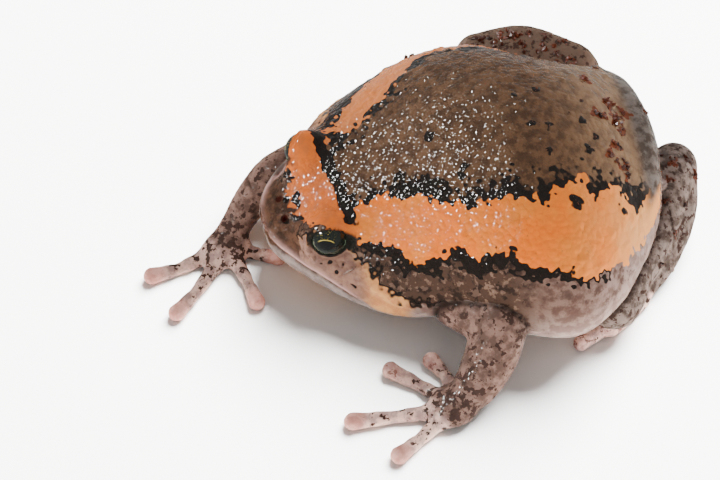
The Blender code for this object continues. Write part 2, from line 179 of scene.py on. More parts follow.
def trunk_level(left, along, up):
    """1 on the trunk's surface, less inside, more outside, with its slopes across and up."""
    wide_left, wide_right, top, bottom, widest, square = ring_at(along)
    width = np.where(left > 0, wide_left, wide_right)
    rise = up - widest
    height = np.where(rise > 0, top - widest, widest - bottom)
    power = np.where(rise > 0, square, 2.0)
    a = np.abs(left / width) ** power
    b = np.abs(rise / height) ** power
    level = np.maximum((a + b) ** (1 / power), 1e-4)
    factor = level / np.maximum(a + b, 1e-9)
    return level, factor * a / np.maximum(np.abs(left), 1e-3), factor * b / np.maximum(np.abs(rise), 1e-3)


def trunk_distance(left, along, up):
    level, across, rise = trunk_level(left, along, up)
    slope = (trunk_level(left, along + 0.05, up)[0] - level) / 0.05
    far = (level - 1) / np.sqrt(across**2 + rise**2 + slope**2 + 1e-6)
    return np.maximum(far, np.maximum(SNOUT - along, along - VENT))


def oval_distance(rel, sizes):
    """Distance to a ball stretched to three half sizes, from its middle."""
    scaled = rel / np.array(sizes)
    level = np.sqrt((scaled**2).sum(axis=1)) + 1e-6
    slope = np.sqrt(((scaled / np.array(sizes)) ** 2).sum(axis=1)) / level + 1e-6
    return (level - 1) / slope


def smooth_join(a, b, reach):
    """The nearer of two distances, melted together where they differ by less than reach."""
    mix = np.maximum(reach - np.abs(a - b), 0) / reach
    return np.minimum(a, b) - mix * mix * reach / 4


def smooth_cut(a, b, reach):
    """Cuts b out of a, with an edge rounded over reach."""
    return -smooth_join(-a, b, reach)


def bump_at(values, middle, width):
    """A soft hump of height 1 around middle."""
    return np.exp(-(((values - middle) / width) ** 2))


def step(values, low, high):
    """0 below low, 1 above high, smooth between."""
    t = np.clip((values - low) / (high - low), 0, 1)
    return t * t * (3 - 2 * t)


deep = trunk_distance(*np.array([[0.0], [6.0], [12.6]]))
print("the middle of the trunk lies", round(float(-deep[0]), 1), "mm deep")

# %% [markdown]
# ## Limbs
# Arms and legs are tapered tubes with the same middle lines as the solids. A frog's palm is a flat pad,
# and its fingers swell a little at each joint and widen at the tip.

# %% Middle lines of the limbs
UPPER_ARM = {
    "left": ((13.0, -8.5, 8.6, 4.3), (19.8, -4.2, 9.4, 4.8), (25.8, 0.8, 10.8, 4.4)),
    "right": ((-15.0, -13.0, 8.0, 4.0), (-17.2, -18.5, 8.0, 4.2), (-15.4, -24.4, 8.4, 3.9)),
}
FOREARM = {
    "left": (
        (27.4, 1.6, 11.4, 4.4), (30.6, -0.6, 7.9, 4.5),
        (33.6, -3.4, 4.9, 3.9), (35.6, -6.0, 3.2, 3.0),
    ),
    "right": (
        (-15.0, -25.2, 8.4, 3.9), (-12.4, -31.0, 7.8, 4.0),
        (-9.2, -36.0, 5.6, 3.2), (-6.2, -39.2, 3.4, 2.6),
    ),
}
PALM = {"left": (36.1, -8.3, 2.0, 35.0), "right": (-3.2, -41.4, 2.0, -50.0)}
PALM_SIZE = (3.6, 3.4, 2.2)
FINGERS = {
    "left": (
        ((34.2, -7.2), (29.6, -7.8), (26.0, -9.8)),
        ((34.8, -8.8), (30.9, -12.0), (26.8, -17.0)),
        ((36.0, -10.0), (35.8, -16.6), (35.7, -25.0)),
        ((37.2, -9.4), (40.4, -13.9), (43.4, -18.4)),
    ),
    "right": (
        ((-3.0, -39.4), (-1.0, -36.0), (0.4, -32.6)),
        ((-1.4, -40.6), (4.2, -38.7), (9.2, -37.6)),
        ((-1.2, -42.6), (4.6, -47.2), (9.2, -51.6)),
        ((-2.6, -43.6), (-0.4, -49.4), (0.8, -55.0)),
    ),
}
THIGH = {
    "left": ((10.0, 22.0, 8.0, 6.0), (18.0, 23.5, 7.0, 6.0), (22.0, 22.5, 6.2, 5.0)),
    "right": ((-10.0, 22.0, 8.4, 6.0), (-20.6, 17.6, 8.8, 6.2), (-29.4, 11.0, 8.4, 5.0)),
}
SHANK = {
    "left": ((20.5, 22.5, 6.0, 4.6), (10.5, 31.2, 6.8, 4.7), (-0.3, 37.4, 9.0, 4.5)),
    "right": ((-32.2, 9.8, 8.8, 5.0), (-31.4, 17.5, 9.6, 5.4), (-27.2, 25.6, 9.2, 4.8)),
}
FOOT = {
    "left": ((-2.9, 38.9, 8.2, 4.3), (5.2, 37.4, 5.4, 3.9), (12.4, 33.0, 3.2, 3.5), (17.2, 28.4, 2.0, 3.1)),
    "right": (
        (-27.4, 27.0, 7.4, 4.3), (-33.2, 25.8, 4.8, 3.7),
        (-37.4, 20.8, 2.6, 3.4), (-38.4, 16.8, 1.9, 3.1),
    ),
}
TOES = {
    "left": (
        ((15.0, 28.6), (15.1, 27.3), (15.2, 26.0)),
        ((16.0, 27.6), (16.8, 25.6), (17.4, 23.6)),
        ((17.2, 27.4), (20.0, 22.4), (22.6, 18.4)),
        ((18.8, 28.0), (23.3, 22.4), (26.6, 16.2)),
        ((19.8, 28.2), (22.4, 25.4), (24.6, 22.0)),
    ),
    "right": (
        ((-35.2, 17.4), (-34.0, 16.4), (-33.0, 15.3)),
        ((-36.0, 16.0), (-34.7, 13.8), (-33.6, 11.3)),
        ((-37.2, 15.4), (-35.8, 9.2), (-34.6, 4.8)),
        ((-38.6, 15.6), (-38.0, 8.2), (-36.5, 1.8)),
        ((-40.2, 17.3), (-41.2, 13.8), (-41.5, 10.3)),
    ),
}
FINGER_RADII = (1.9, 1.15, 1.05, 1.5)
TOE_RADII = (1.6, 1.25, 1.2, 1.35)

# %% Limbs as distance fields


def tube_distance(points, rows):
    """Distance to a tapered tube through rows of (x, y, z, radius)."""
    best = np.full(len(points), 50.0)
    for a, b in zip(rows[:-1], rows[1:]):
        way = b[:3] - a[:3]
        part = np.clip((points - a[:3]) @ way / max(way @ way, 1e-9), 0, 1)
        near = a[:3] + part[:, None] * way
        gap = np.sqrt(((points - near) ** 2).sum(axis=1)) - (a[3] + part * (b[3] - a[3]))
        best = np.minimum(best, gap)
    return best


def pad_distance(points, centre, sizes, turn):
    """Distance to a flattened ball, turned about the upright."""
    c, s = math.cos(turn), math.sin(turn)
    rel = points - np.array(centre)
    rel = np.stack([rel[:, 0] * c + rel[:, 1] * s, rel[:, 1] * c - rel[:, 0] * s, rel[:, 2]], axis=1)
    return oval_distance(rel, sizes)


def digit_rows(points, radii):
    """A digit on the floor, a little thicker at its two joints."""
    rows = through([(*xy, 0.0) for xy in points], 17)
    radius = through([(r,) for r in radii], 17)[:, 0]
    t = np.linspace(0, 1, 17)
    radius = radius + 0.16 * bump_at(t, 0.42, 0.09) + 0.14 * bump_at(t, 0.72, 0.08)
    rows[:, 2] = radius * 0.86
    return np.column_stack([rows, radius])


LIMBS = []
for side in SIDES:
    x, y, z, turn = PALM[side]
    arm = [("tube", through(UPPER_ARM[side], 14), 1.0), ("tube", through(FOREARM[side], 16), 1.6)]
    arm.append(("pad", (x, y, z), PALM_SIZE, math.radians(turn), 2.4))
    for path in FINGERS[side]:
        arm.append(("tube", digit_rows(path, FINGER_RADII), 1.5))
    leg = [("tube", through(THIGH[side], 12), 1.0), ("tube", through(SHANK[side], 14), 1.0)]
    leg.append(("tube", through(FOOT[side], 16), 0.7))
    for path in TOES[side]:
        leg.append(("tube", digit_rows(path, TOE_RADII), 0.9))
    LIMBS += [arm, leg]


def piece_distance(points, piece):
    """Distance to one limb piece, worked out only where a point is near it."""
    far = np.full(len(points), 6.0)
    if piece[0] == "tube":
        rows = piece[1]
        low, high = rows[:, :3].min(axis=0) - 9.0, rows[:, :3].max(axis=0) + 9.0
    else:
        low, high = np.array(piece[1]) - 11.0, np.array(piece[1]) + 11.0
    near = np.nonzero(((points > low) & (points < high)).all(axis=1))[0]
    if len(near) == 0:
        return far
    if piece[0] == "tube":
        far[near] = tube_distance(points[near], piece[1])
    else:
        far[near] = pad_distance(points[near], piece[1], piece[2], piece[3])
    return far


def limb_distance(points, pieces):
    best = piece_distance(points, pieces[0])
    for piece in pieces[1:]:
        best = smooth_join(best, piece_distance(points, piece), piece[-1])
    return best


print("limb pieces:", sum(len(pieces) for pieces in LIMBS))

# %% [markdown]
# ## Face: eyes, lids, nostrils and the line of the mouth
# The eyes bulge from the sides of a short head. Each sits in a round mound of skin that is open towards
# the way the eye looks, with a thin wet rim. The mouth is a groove under an overhanging upper lip.

# %% Places on the head
EYE_RADIUS = 3.3
EYE_PLACE = (8.6, -25.6, 17.7)
LOOK_OUT = {"left": math.radians(76), "right": math.radians(42)}
LOOK_UP = {"left": math.radians(26), "right": math.radians(2)}
LID_RADIUS = EYE_RADIUS + 0.35
OPENING_LONG, OPENING_UP, OPENING_DOWN = math.radians(65), math.radians(49), math.radians(45)
# Radius of the lid's rounded edge
LID_EDGE = 0.2
# The mound ahead of the eye is cut back to a dish: how far its floor lies from the eye's middle, its
# slope, the radius where the slope starts, and how far the cut reaches
DISH_AT, DISH_SLOPE, DISH_FLAT, DISH_REACH = 1.7, 0.45, 3.2, 7.0
BROW_AT, BROW_SIZE = (7.4, -24.6, 15.2), (4.6, 6.2, 4.6)
NOSTRIL, NOSTRIL_RADIUS = (1.95, -31.7, 15.2), 0.35
# A shallow hollow ahead of each eye
HOLLOW_AT, HOLLOW_WIDTH = (8.0, -30.2, 15.2), 2.3
HOLLOW_DEPTH = {"left": 0.4, "right": 1.0}
# Height from the line of the mouth, half width and how far it stands out
UPPER_LIP, LOWER_LIP, MOUTH_GROOVE = (0.75, 0.5, 0.26), (-0.9, 0.6, 0.16), (0.0, 0.22, -0.60)
MOUTH_LINE = (
    (-37.0, 12.1), (-33.0, 12.1), (-30.0, 12.0), (-27.0, 11.4), (-25.4, 10.9),
    (-23.5, 10.1), (-20.0, 9.0), (-10.0, 8.0),
)
EYES = {}
for side, sign in SIDES.items():
    centre = posed(sign * EYE_PLACE[0], *EYE_PLACE[1:])
    ahead = posed(
        sign * (EYE_PLACE[0] + math.sin(LOOK_OUT[side]) * math.cos(LOOK_UP[side])),
        EYE_PLACE[1] - math.cos(LOOK_OUT[side]) * math.cos(LOOK_UP[side]),
        EYE_PLACE[2] + math.sin(LOOK_UP[side]),
    )
    look = (ahead - centre) / np.linalg.norm(ahead - centre)
    along = np.cross([0, 0, 1.0], look)
    along /= np.linalg.norm(along)
    EYES[side] = (centre, np.array([look, along, np.cross(look, along)]))


def eye_opening(local, reach):
    """How far points lie outside a lid's oval opening, in mm, seen from the middle of the eye."""
    unit = local / reach[:, None]
    tall = np.where(unit[:, 2] > 0, math.sin(OPENING_UP), math.sin(OPENING_DOWN))
    level = np.sqrt((unit[:, 1] / math.sin(OPENING_LONG)) ** 2 + (unit[:, 2] / tall) ** 2)
    return np.where(unit[:, 0] > 0, (level - 1) * EYE_RADIUS * 0.85, 6.0)


def carve_face(points, left, along, up, far):
    """Adds mounds, lids, nostrils and mouth to the distances of points near the head."""
    for sign in SIDES.values():
        rel = np.stack([left - sign * BROW_AT[0], along - BROW_AT[1], up - BROW_AT[2]], axis=1)
        far = smooth_join(far, oval_distance(rel, BROW_SIZE), 2.5)
    line = np.interp(along, *np.array(MOUTH_LINE).T)
    front = step(-along, 21.0, 25.0)
    off = up - line
    for height, half_width, out in (UPPER_LIP, LOWER_LIP, MOUTH_GROOVE):
        far = far - front * out * bump_at(off, height, half_width)
    for side, sign in SIDES.items():
        centre, axes = EYES[side]
        local = (points - centre) @ axes.T
        reach = np.sqrt((local**2).sum(axis=1)) + 1e-6
        far = smooth_join(far, reach - LID_RADIUS, 1.8)
        mouthing = eye_opening(local, reach)
        aside = np.hypot(local[:, 1], local[:, 2])
        dish = DISH_AT + DISH_SLOPE * np.maximum(aside - DISH_FLAT, 0) - local[:, 0]
        dish = np.maximum(np.maximum(dish, LID_RADIUS + 0.05 - reach), reach - DISH_REACH)
        far = smooth_cut(far, dish, 0.8)
        rim = np.sqrt(mouthing**2 + (reach - EYE_RADIUS - LID_EDGE) ** 2) - LID_EDGE
        far = smooth_join(far, rim, 0.3)
        hollow = np.maximum(mouthing, 2.2 - reach)
        far = smooth_cut(far, hollow, 0.16)
        spot = np.stack([left - sign * NOSTRIL[0], along - NOSTRIL[1], up - NOSTRIL[2]], axis=1)
        gap = np.sqrt(spot[:, 0] ** 2 + spot[:, 1] ** 2 + (0.3 * spot[:, 2]) ** 2)
        far = far - 0.2 * bump_at(gap, 1.0, 0.4)
        far = smooth_cut(far, gap - NOSTRIL_RADIUS, 0.3)
        cheek = [left - sign * HOLLOW_AT[0], along - HOLLOW_AT[1], up - HOLLOW_AT[2]]
        far = far + HOLLOW_DEPTH[side] * bump_at(np.linalg.norm(cheek, axis=0), 0.0, HOLLOW_WIDTH)
    return far


print("eyes at", {side: eye[0].round(1).tolist() for side, eye in EYES.items()})

# %% [markdown]
# ## Folds of the trunk
# A plump frog's skin is loose. A fold runs from behind the eye down to the shoulder, the flank sags over
# the upper arm with a sharp crease, and the throat has fine pleats.

# %% The whole frog as one distance field


def fold_depth(left, along, up):
    """How far the folds push the skin out, in mm."""
    side = np.abs(left)
    line = np.interp(along, (-24.0, -20.0, -14.0, -9.0), (15.5, 13.8, 11.6, 10.6))
    ridge = step(-along, 8.0, 13.0) * step(along, -24.0, -21.0) * step(side, 11.0, 14.0)
    out = 0.3 * ridge * bump_at(up, line, 0.9) - 0.22 * ridge * bump_at(up, line - 1.9, 0.8)
    pleats = step(-up, -9.0, -6.5) * step(-along, 8.0, 14.0)
    return out + 0.10 * pleats * np.sin(along * 2.4 + 0.6 * np.sin(left * 0.5))


def frog_distance(points):
    """(distance, distance to the trunk alone, distance to the nearest limb) of points in mm."""
    left, along, up = straightened(points)
    trunk = trunk_distance(left, along, up) - fold_depth(left, along, up)
    face = np.nonzero(along < -14.0)[0]
    if len(face):
        trunk[face] = carve_face(points[face], left[face], along[face], up[face], trunk[face])
    limbs = np.full(len(points), 6.0)
    whole = trunk
    for pieces in LIMBS:
        limb = limb_distance(points, pieces)
        limbs = np.minimum(limbs, limb)
        whole = smooth_join(whole, limb, 0.7)
    meeting = np.exp(-(((trunk - limbs) / 0.45) ** 2) - (np.maximum(trunk, limbs) / 1.2) ** 2)
    whole = whole + 0.4 * meeting * step(up, 4.0, 7.0)
    whole = -smooth_join(-whole, points[:, 2], 0.25)
    return whole, trunk, limbs


def field_slope(points, here, gap):
    """How the distance grows along x, y and z, from its values here."""
    return np.stack([(frog_distance(points + shift)[0] - here) / gap for shift in np.eye(3) * gap], axis=1)


def slid_to_skin(points, rounds):
    """Moves points along the field's slope until they lie on the skin."""
    for _ in range(rounds):
        here = frog_distance(points)[0]
        slope = field_slope(points, here, 0.04)
        size = np.maximum((slope**2).sum(axis=1), 0.2)
        move = -(here / size)[:, None] * slope
        length = np.sqrt((move**2).sum(axis=1))
        move *= np.minimum(1, 0.5 / np.maximum(length, 1e-6))[:, None]
        points = points + move
    return points


ahead_of_snout = posed(0.0, SNOUT - 5.0, 10.8)[None]
print("5 mm ahead of the snout the distance is", frog_distance(ahead_of_snout)[0].round(1), "mm")

# %% [markdown]
# ## From field to mesh
# A coarse grid of distances is turned into quads, each quad is split in four, and every corner is slid
# onto the exact surface. Faces on the head are split once more, because lids and lips are finer than
# anything on the back.

# %% Draw the skin
CELL = 0.96
low, high = np.array([-46.0, -60.0, -2.0]), np.array([49.0, 47.5, 35.5])
counts = np.ceil((high - low) / CELL).astype(int)
axes = [low[k] + np.arange(counts[k]) * CELL for k in range(3)]
cells = np.stack(np.meshgrid(*axes, indexing="ij"), axis=-1).reshape(-1, 3)
values = np.concatenate([frog_distance(block)[0] for block in np.array_split(cells, 12)])
grid = openvdb.FloatGrid(3.0)
grid.copyFromArray(np.clip(values, -3, 3).reshape(counts).astype(np.float32))
corners, quads = grid.convertToQuads(isovalue=0.0)
# Only the largest closed piece is skin: any speck that stands apart from it is left out
piece = np.arange(len(corners))
before = None
while before is None or (piece != before).any():
    before = piece.copy()
    np.minimum.at(piece, quads.ravel(), np.repeat(piece[quads].min(axis=1), 4))
    piece = piece[piece]
print("closed pieces:", len(np.unique(piece)))
quads = quads[piece[quads[:, 0]] == np.bincount(piece).argmax()]
kept, quads = np.unique(quads, return_inverse=True)
quads = quads.reshape(-1, 4)
corners = slid_to_skin(corners[kept] * CELL + low, 2)
print("coarse skin:", len(quads), "quads")


def split_once(points, faces, chosen=None):
    """Splits quads in four, all of them or only the chosen ones."""
    mesh = bpy.data.meshes.new("work")
    mesh.from_pydata(points.tolist(), [], [list(face) for face in faces])
    work = bmesh.new()
    work.from_mesh(mesh)
    bpy.data.meshes.remove(mesh)
    work.faces.ensure_lookup_table()
    picked = work.faces[:] if chosen is None else [work.faces[i] for i in chosen]
    edges = list({edge for face in picked for edge in face.edges})
    bmesh.ops.subdivide_edges(work, edges=edges, cuts=1, use_grid_fill=True)
    points = np.array([vertex.co[:] for vertex in work.verts])
    faces = [[vertex.index for vertex in face.verts] for face in work.faces]
    work.free()
    return points, faces


def evened(points, faces, rounds):
    """Evens out the spacing of the corners."""
    pairs = np.array([(a, b) for face in faces for a, b in zip(face, face[1:] + face[:1])])
    count = np.bincount(pairs[:, 0], minlength=len(points))
    for _ in range(rounds):
        total = [np.bincount(pairs[:, 0], points[pairs[:, 1], k], len(points)) for k in range(3)]
        points = points + 0.5 * (np.stack(total, axis=1) / count[:, None] - points)
    return points


corners = slid_to_skin(evened(corners, quads.tolist(), 2), 1)
corners, faces = split_once(corners, quads)
corners = slid_to_skin(evened(corners, faces, 1), 2)
middles = np.array([corners[face].mean(axis=0) for face in faces])
left, along, up = straightened(middles)
on_head = (along < -18.5) & (up > 6.0) & (frog_distance(middles)[2] > 1.2)
corners, faces = split_once(corners, faces, np.nonzero(on_head)[0])
corners = slid_to_skin(corners, 3)
print("skin:", len(faces), "faces,", sum(len(face) - 2 for face in faces), "triangles")

# %% [markdown]
# ## Warts and the lie of the skin
# The back of this frog carries low round warts and a few taller dark ones, and nowhere is it quite even.
# Warts wider than a millimetre are real shapes here, pushed out of the mesh. Finer grains are left to
# the material. A fixed seed puts the small warts in the same places each time.

# %% Places on the trunk


def on_skin(along, angle):
    """Posed places on the trunk at degrees down from the middle of the back, the left side being plus."""
    along, angle = np.asarray(along, float), np.asarray(angle, float)
    wide_left, wide_right, top, bottom, widest, square = ring_at(along)
    across, rise = np.sin(np.radians(angle)), np.cos(np.radians(angle))
    power = np.where(rise > 0, square, 2.0)
    size = (np.abs(across) ** power + np.abs(rise) ** power) ** (-1 / power)
    left = across * size * np.where(angle > 0, wide_left, wide_right)
    height = np.where(rise > 0, top - widest, widest - bottom)
    return posed(left, along, widest + rise * size * height)


def angle_of(left, along, up):
    """Degrees down from the middle of the back, plus on the left."""
    wide_left, wide_right, top, bottom, widest, _ = ring_at(along)
    rise = up - widest
    height = np.where(rise > 0, top - widest, widest - bottom)
    return np.degrees(np.arctan2(left / np.where(left > 0, wide_left, wide_right), rise / height))


# Dark spots on the back, the stripe, the head and the cheek: left, along, up, radius
SPOTS = (
    (-4.1, -28.8, 16.7, 1.05), (-0.4, -29.1, 16.9, 0.9), (0.5, -29.0, 16.9, 0.8), (-1.2, -30.5, 16.0, 0.6),
    (4.9, -27.7, 17.4, 0.75), (4.3, -28.5, 17.0, 0.6), (3.6, -29.3, 16.6, 0.6), (2.8, -30.2, 16.2, 0.55),
    # The black spot at 1.95, -31.7, 15.4 sits on the left nostril and is painted shade in its hole
    (5.6, -27.0, 17.6, 0.6), (-8.1, -28.3, 15.7, 0.95), (1.95, -31.7, 15.4, 0.85),
    (11.3, -27.8, 14.4, 0.26), (12.3, -26.3, 15.0, 0.32), (12.4, -25.2, 16.0, 0.5),
    (12.6, -24.3, 16.4, 0.42), (13.8, -23.9, 15.8, 0.4), (13.8, -24.8, 14.9, 0.35),
    (13.8, -25.8, 13.8, 0.26), (15.6, -23.4, 14.4, 0.26), (16.5, -23.3, 12.9, 0.3),
    (15.3, -25.2, 11.8, 0.32), (13.2, -24.4, 15.2, 0.3),
    (16.7, 15.6, 28.4, 1.0), (16.1, 14.9, 29.0, 0.7), (17.4, 24.1, 23.1, 0.5), (16.3, 23.5, 24.2, 0.28),
    (19.4, -4.9, 23.2, 0.45), (1.7, 19.7, 29.7, 0.9), (2.2, 10.8, 32.5, 0.8), (2.8, 13.3, 31.9, 0.7),
    (7.6, 12.5, 31.6, 0.75), (-5.4, 13.2, 31.5, 0.7), (-4.2, 9.0, 32.5, 0.7), (5.0, 21.5, 28.5, 0.5),
    (7.3, 19.6, 29.2, 0.9), (-2.9, 20.8, 29.0, 0.35), (0.3, 17.7, 30.6, 0.35), (10.7, 19.9, 28.4, 0.35),
    (0.7, -6.0, 29.3, 1.0), (8.4, -1.6, 30.2, 0.8), (4.0, 4.0, 32.0, 0.5), (-2.0, 2.0, 31.8, 0.45),
)
WART_SEED, SMALL_WARTS = 11, 420
random = np.random.default_rng(WART_SEED)
warts = [(*posed(*spot[:3]), spot[3] * 1.1, 0.22) for spot in SPOTS if spot[3] > 0.6 and spot[1] > -20]
for _ in range(SMALL_WARTS):
    place = on_skin(random.uniform(-24, 29), random.uniform(-85, 60))
    warts.append((*place, random.uniform(0.55, 1.1), random.uniform(0.08, 0.2)))
print("warts:", len(warts))


def store(mesh, fields):
    """Stores one number per corner of a mesh for each named field."""
    for name, values in fields.items():
        layer = mesh.attributes.new(name, "FLOAT", "POINT")
        layer.data.foreach_set("value", np.asarray(values, np.float32))


def centred(points):
    """Places in mm as metres about the middle of the floor plan."""
    return (points - np.array([*PLAN_MIDDLE, 0.0])) * MM


# %% Push warts and unevenness out of the mesh
values, trunk, limbs = frog_distance(corners)
slope = field_slope(corners, values, 0.05)
normals = slope / np.maximum(np.sqrt((slope**2).sum(axis=1)), 1e-9)[:, None]
lumps = np.array([noise.noise(Vector(p * 0.4)) + 0.5 * noise.noise(Vector(p * 1.0)) for p in corners])
in_lids = np.min([np.linalg.norm(corners - eye[0], axis=1) for eye in EYES.values()], axis=0)
calm = step(in_lids, 4.2, 5.6) * step(corners[:, 2], 0.2, 1.5)
rise = 0.10 * lumps
for x, y, z, radius, height in warts:
    near = np.nonzero(np.abs(corners[:, 0] - x) + np.abs(corners[:, 1] - y) < 3 * radius)[0]
    gap = np.linalg.norm(corners[near] - (x, y, z), axis=1) / radius
    rise[near] = rise[near] + height * np.maximum(0, 1 - gap**2) * (limbs[near] > 0.8)
corners = corners + normals * (rise * calm)[:, None]

skin_mesh = bpy.data.meshes.new("skin")
placed = centred(corners)
skin_mesh.from_pydata(placed.tolist(), [], faces)
skin = bpy.data.objects.new("skin", skin_mesh)
bpy.context.scene.collection.objects.link(skin)
skin_mesh.shade_smooth()
print("skin size in mm:", (placed.max(axis=0) - placed.min(axis=0)).round(4) / MM)

# %% [markdown]
# ## Markings by rule
# The painted frog's back is a brown patch with a jagged black edge. An orange band runs along each side
# of it from eye to groin and joins a coppery patch across the head. Under the band lies a dark, marbled
# flank. Each border is a short line of places along the body and degrees down from the back's middle,
# and every corner of the skin stores how many millimetres it lies inside it. The material then draws
# the border where that number passes zero, far more sharply than a colour per corner could.

# %% Borders of the markings
PATCH_LEFT = (
    (-23.0, 21.0), (-21.1, 19.6), (-19.5, 17.0), (-16.0, 15.9), (-12.8, 20.1), (-8.8, 23.9), (-5.9, 31.7),
    (-2.0, 35.7), (0.5, 34.0), (4.7, 30.0), (7.9, 29.8), (10.6, 32.3), (12.4, 27.1), (14.1, 25.2),
    (15.9, 25.6), (17.5, 24.7), (18.2, 30.5), (19.5, 33.4), (20.9, 30.7), (23.0, 29.9), (24.4, 33.7),
    (26.9, 46.3), (28.7, 42.7), (36.0, 40.0),
)
RIM_LEFT = (
    (-23.0, 12.0), (-19.5, 11.0), (-16.0, 11.0), (-12.8, 14.0), (-8.8, 17.0), (-5.9, 22.0), (-2.0, 25.5),
    (0.5, 26.5), (4.7, 25.0), (7.9, 25.5), (10.6, 24.0), (12.4, 22.5), (14.1, 21.0), (15.9, 21.5),
    (17.5, 21.0), (19.5, 24.5), (23.0, 26.0), (24.4, 28.0), (26.9, 34.0), (36.0, 34.0),
)
PATCH_RIGHT = (
    (-23.0, -25.0), (-21.4, -25.6), (-19.7, -30.0), (-18.3, -25.3), (-17.0, -25.4), (-14.7, -25.7),
    (-11.6, -30.3), (-10.1, -32.3), (-7.4, -38.8), (-5.2, -45.0), (-1.1, -51.0), (2.0, -49.0),
    (5.9, -48.0), (10.6, -51.0), (14.0, -58.0), (18.0, -64.0), (22.0, -66.0), (26.0, -68.0), (36.0, -68.0),
)
FRONT_BAND = (
    (-23.4, -43.0), (-22.8, -31.7), (-22.8, -19.8), (-22.5, -9.0), (-21.9, 3.3), (-21.9, 10.3),
    (-21.8, 16.5), (-21.8, 22.0),
)
STRIPE_LEFT = (
    (-32.4, 5.0), (-31.6, 10.0), (-29.5, 16.0), (-28.0, 22.0), (-26.5, 28.0), (-25.0, 32.0), (-23.5, 34.0),
    (-21.9, 33.6), (-20.3, 36.8), (-16.2, 39.1), (-14.8, 44.0), (-13.4, 51.4), (-9.0, 53.4), (-6.3, 52.3),
    (-4.9, 51.7), (-3.0, 53.2), (-2.1, 55.9), (0.2, 55.0), (1.9, 51.5), (3.7, 50.9), (4.4, 55.5),
    (6.2, 57.4), (9.4, 57.2), (12.7, 56.0), (15.1, 61.1), (17.9, 62.5), (21.9, 64.8), (28.0, 68.0),
    (36.0, 70.0),
)
STRIPE_RIGHT = (
    (-32.4, -5.0), (-31.0, -14.0), (-29.5, -24.0), (-28.0, -36.0), (-26.0, -46.0), (-23.6, -44.0),
    (-21.9, -35.0), (-19.0, -38.0), (-16.2, -45.0), (-13.0, -56.0), (-8.0, -62.0), (-2.0, -70.0),
    (4.0, -66.0), (9.0, -73.0), (15.0, -70.0), (22.0, -76.0), (36.0, -70.0),
)
BAND_LEFT = (
    (-30.0, 36.0), (-24.0, 38.0), (-22.4, 41.8), (-21.4, 47.8), (-19.9, 56.3), (-18.4, 65.8), (-16.0, 73.7),
    (-14.0, 79.6), (-10.7, 80.0), (-6.0, 86.0), (2.0, 92.0), (20.0, 100.0), (36.0, 100.0),
)
left, along, up = straightened(corners)
angle = angle_of(left, along, up)
on_left = left > 0
flat_places = on_skin(along, angle)


def mm_from(line):
    """Distance in mm from each corner of the skin to a line of (along, angle) places."""
    bends = np.array(line)
    best = np.full(len(corners), 9.0)
    for (a_along, a_angle), (b_along, b_angle) in zip(bends[:-1], bends[1:]):
        steps = max(1, int(abs(b_angle - a_angle) / 8))
        rows = on_skin(np.linspace(a_along, b_along, steps + 1), np.linspace(a_angle, b_angle, steps + 1))
        for a, b in zip(rows[:-1], rows[1:]):
            way = b - a
            part = np.clip((flat_places - a) @ way / (way @ way), 0, 1)
            gap = np.sqrt(((flat_places - a - part[:, None] * way) ** 2).sum(axis=1))
            best = np.minimum(best, gap)
    return best


def inside_of(line):
    """Distance in mm to a line along the body, plus between it and the middle of the back."""
    edge = np.interp(along, *np.array(line).T)
    within = (angle < edge) if line[0][1] > 0 else (angle > edge)
    return np.where(within, 1, -1) * mm_from(line)


front_edge = along - np.interp(angle, *np.array(FRONT_BAND)[:, ::-1].T)
fields = {}
far_patch = inside_of(PATCH_RIGHT)
fields["patch"] = np.minimum(np.minimum(inside_of(PATCH_LEFT), far_patch), 2.2 * front_edge + 0.6)
fields["rim"] = np.where(on_left, -inside_of(RIM_LEFT), 1.9 - far_patch)
fields["front"] = 1.25 + 0.2 * (angle > 14) - mm_from(FRONT_BAND)
fields["stripe"] = np.where(on_left, inside_of(STRIPE_LEFT), inside_of(STRIPE_RIGHT))
fields["stripe"] -= 6 * step(along, 31.5, 34.5)
fields["band"] = np.where(on_left, inside_of(BAND_LEFT), inside_of([(a, -b) for a, b in BAND_LEFT]))
# The black line under the stripe: place along the body, width in mm
LINE_WIDTHS = (
    (-23, -2.0), (-20, 2.2), (-16, 2.6), (-13, 2.0), (0, 2.0), (12, 1.7), (15, 1.2), (20, 1.0), (21, -1.0),
)
fields["lined"] = fields["stripe"] + np.interp(along, *np.array(LINE_WIDTHS, float).T)
print("patch reaches", fields["patch"].max().round(1), "mm inside its edge")

# %% Spots, rusty stains and parts of the body
STAINS = (
    (-9.6, 23.1, 26.0, 0.75), (-16.1, 27.5, 19.5, 0.55), (-4.0, 26.2, 24.8, 1.1), (-0.3, 23.0, 27.8, 0.75),
    (0.0, 24.6, 26.6, 0.6), (-0.2, 26.6, 24.8, 1.1), (-2.8, 29.0, 22.7, 0.8), (1.9, 27.2, 24.2, 0.7),
    (5.4, 25.1, 25.8, 0.7), (5.5, 26.2, 24.7, 0.6), (7.5, 23.8, 26.6, 0.75), (9.1, 25.9, 24.4, 1.0),
    (10.9, 26.3, 23.6, 0.6), (-3.9, 33.6, 20.1, 0.7), (8.6, 24.8, 25.6, 0.6), (-1.6, 27.8, 23.8, 0.6),
)


def deepest_in(spots):
    """How far, in mm, each corner lies inside the nearest of some round spots."""
    best = np.full(len(corners), -4.0)
    for x, y, z, radius in spots:
        best = np.maximum(best, radius - np.sqrt((left - x) ** 2 + (along - y) ** 2 + (up - z) ** 2))
    return best


line = np.interp(along, *np.array(MOUTH_LINE).T)
mouth_front = step(-along, 21.5, 25.0) * (limbs > 1.0)
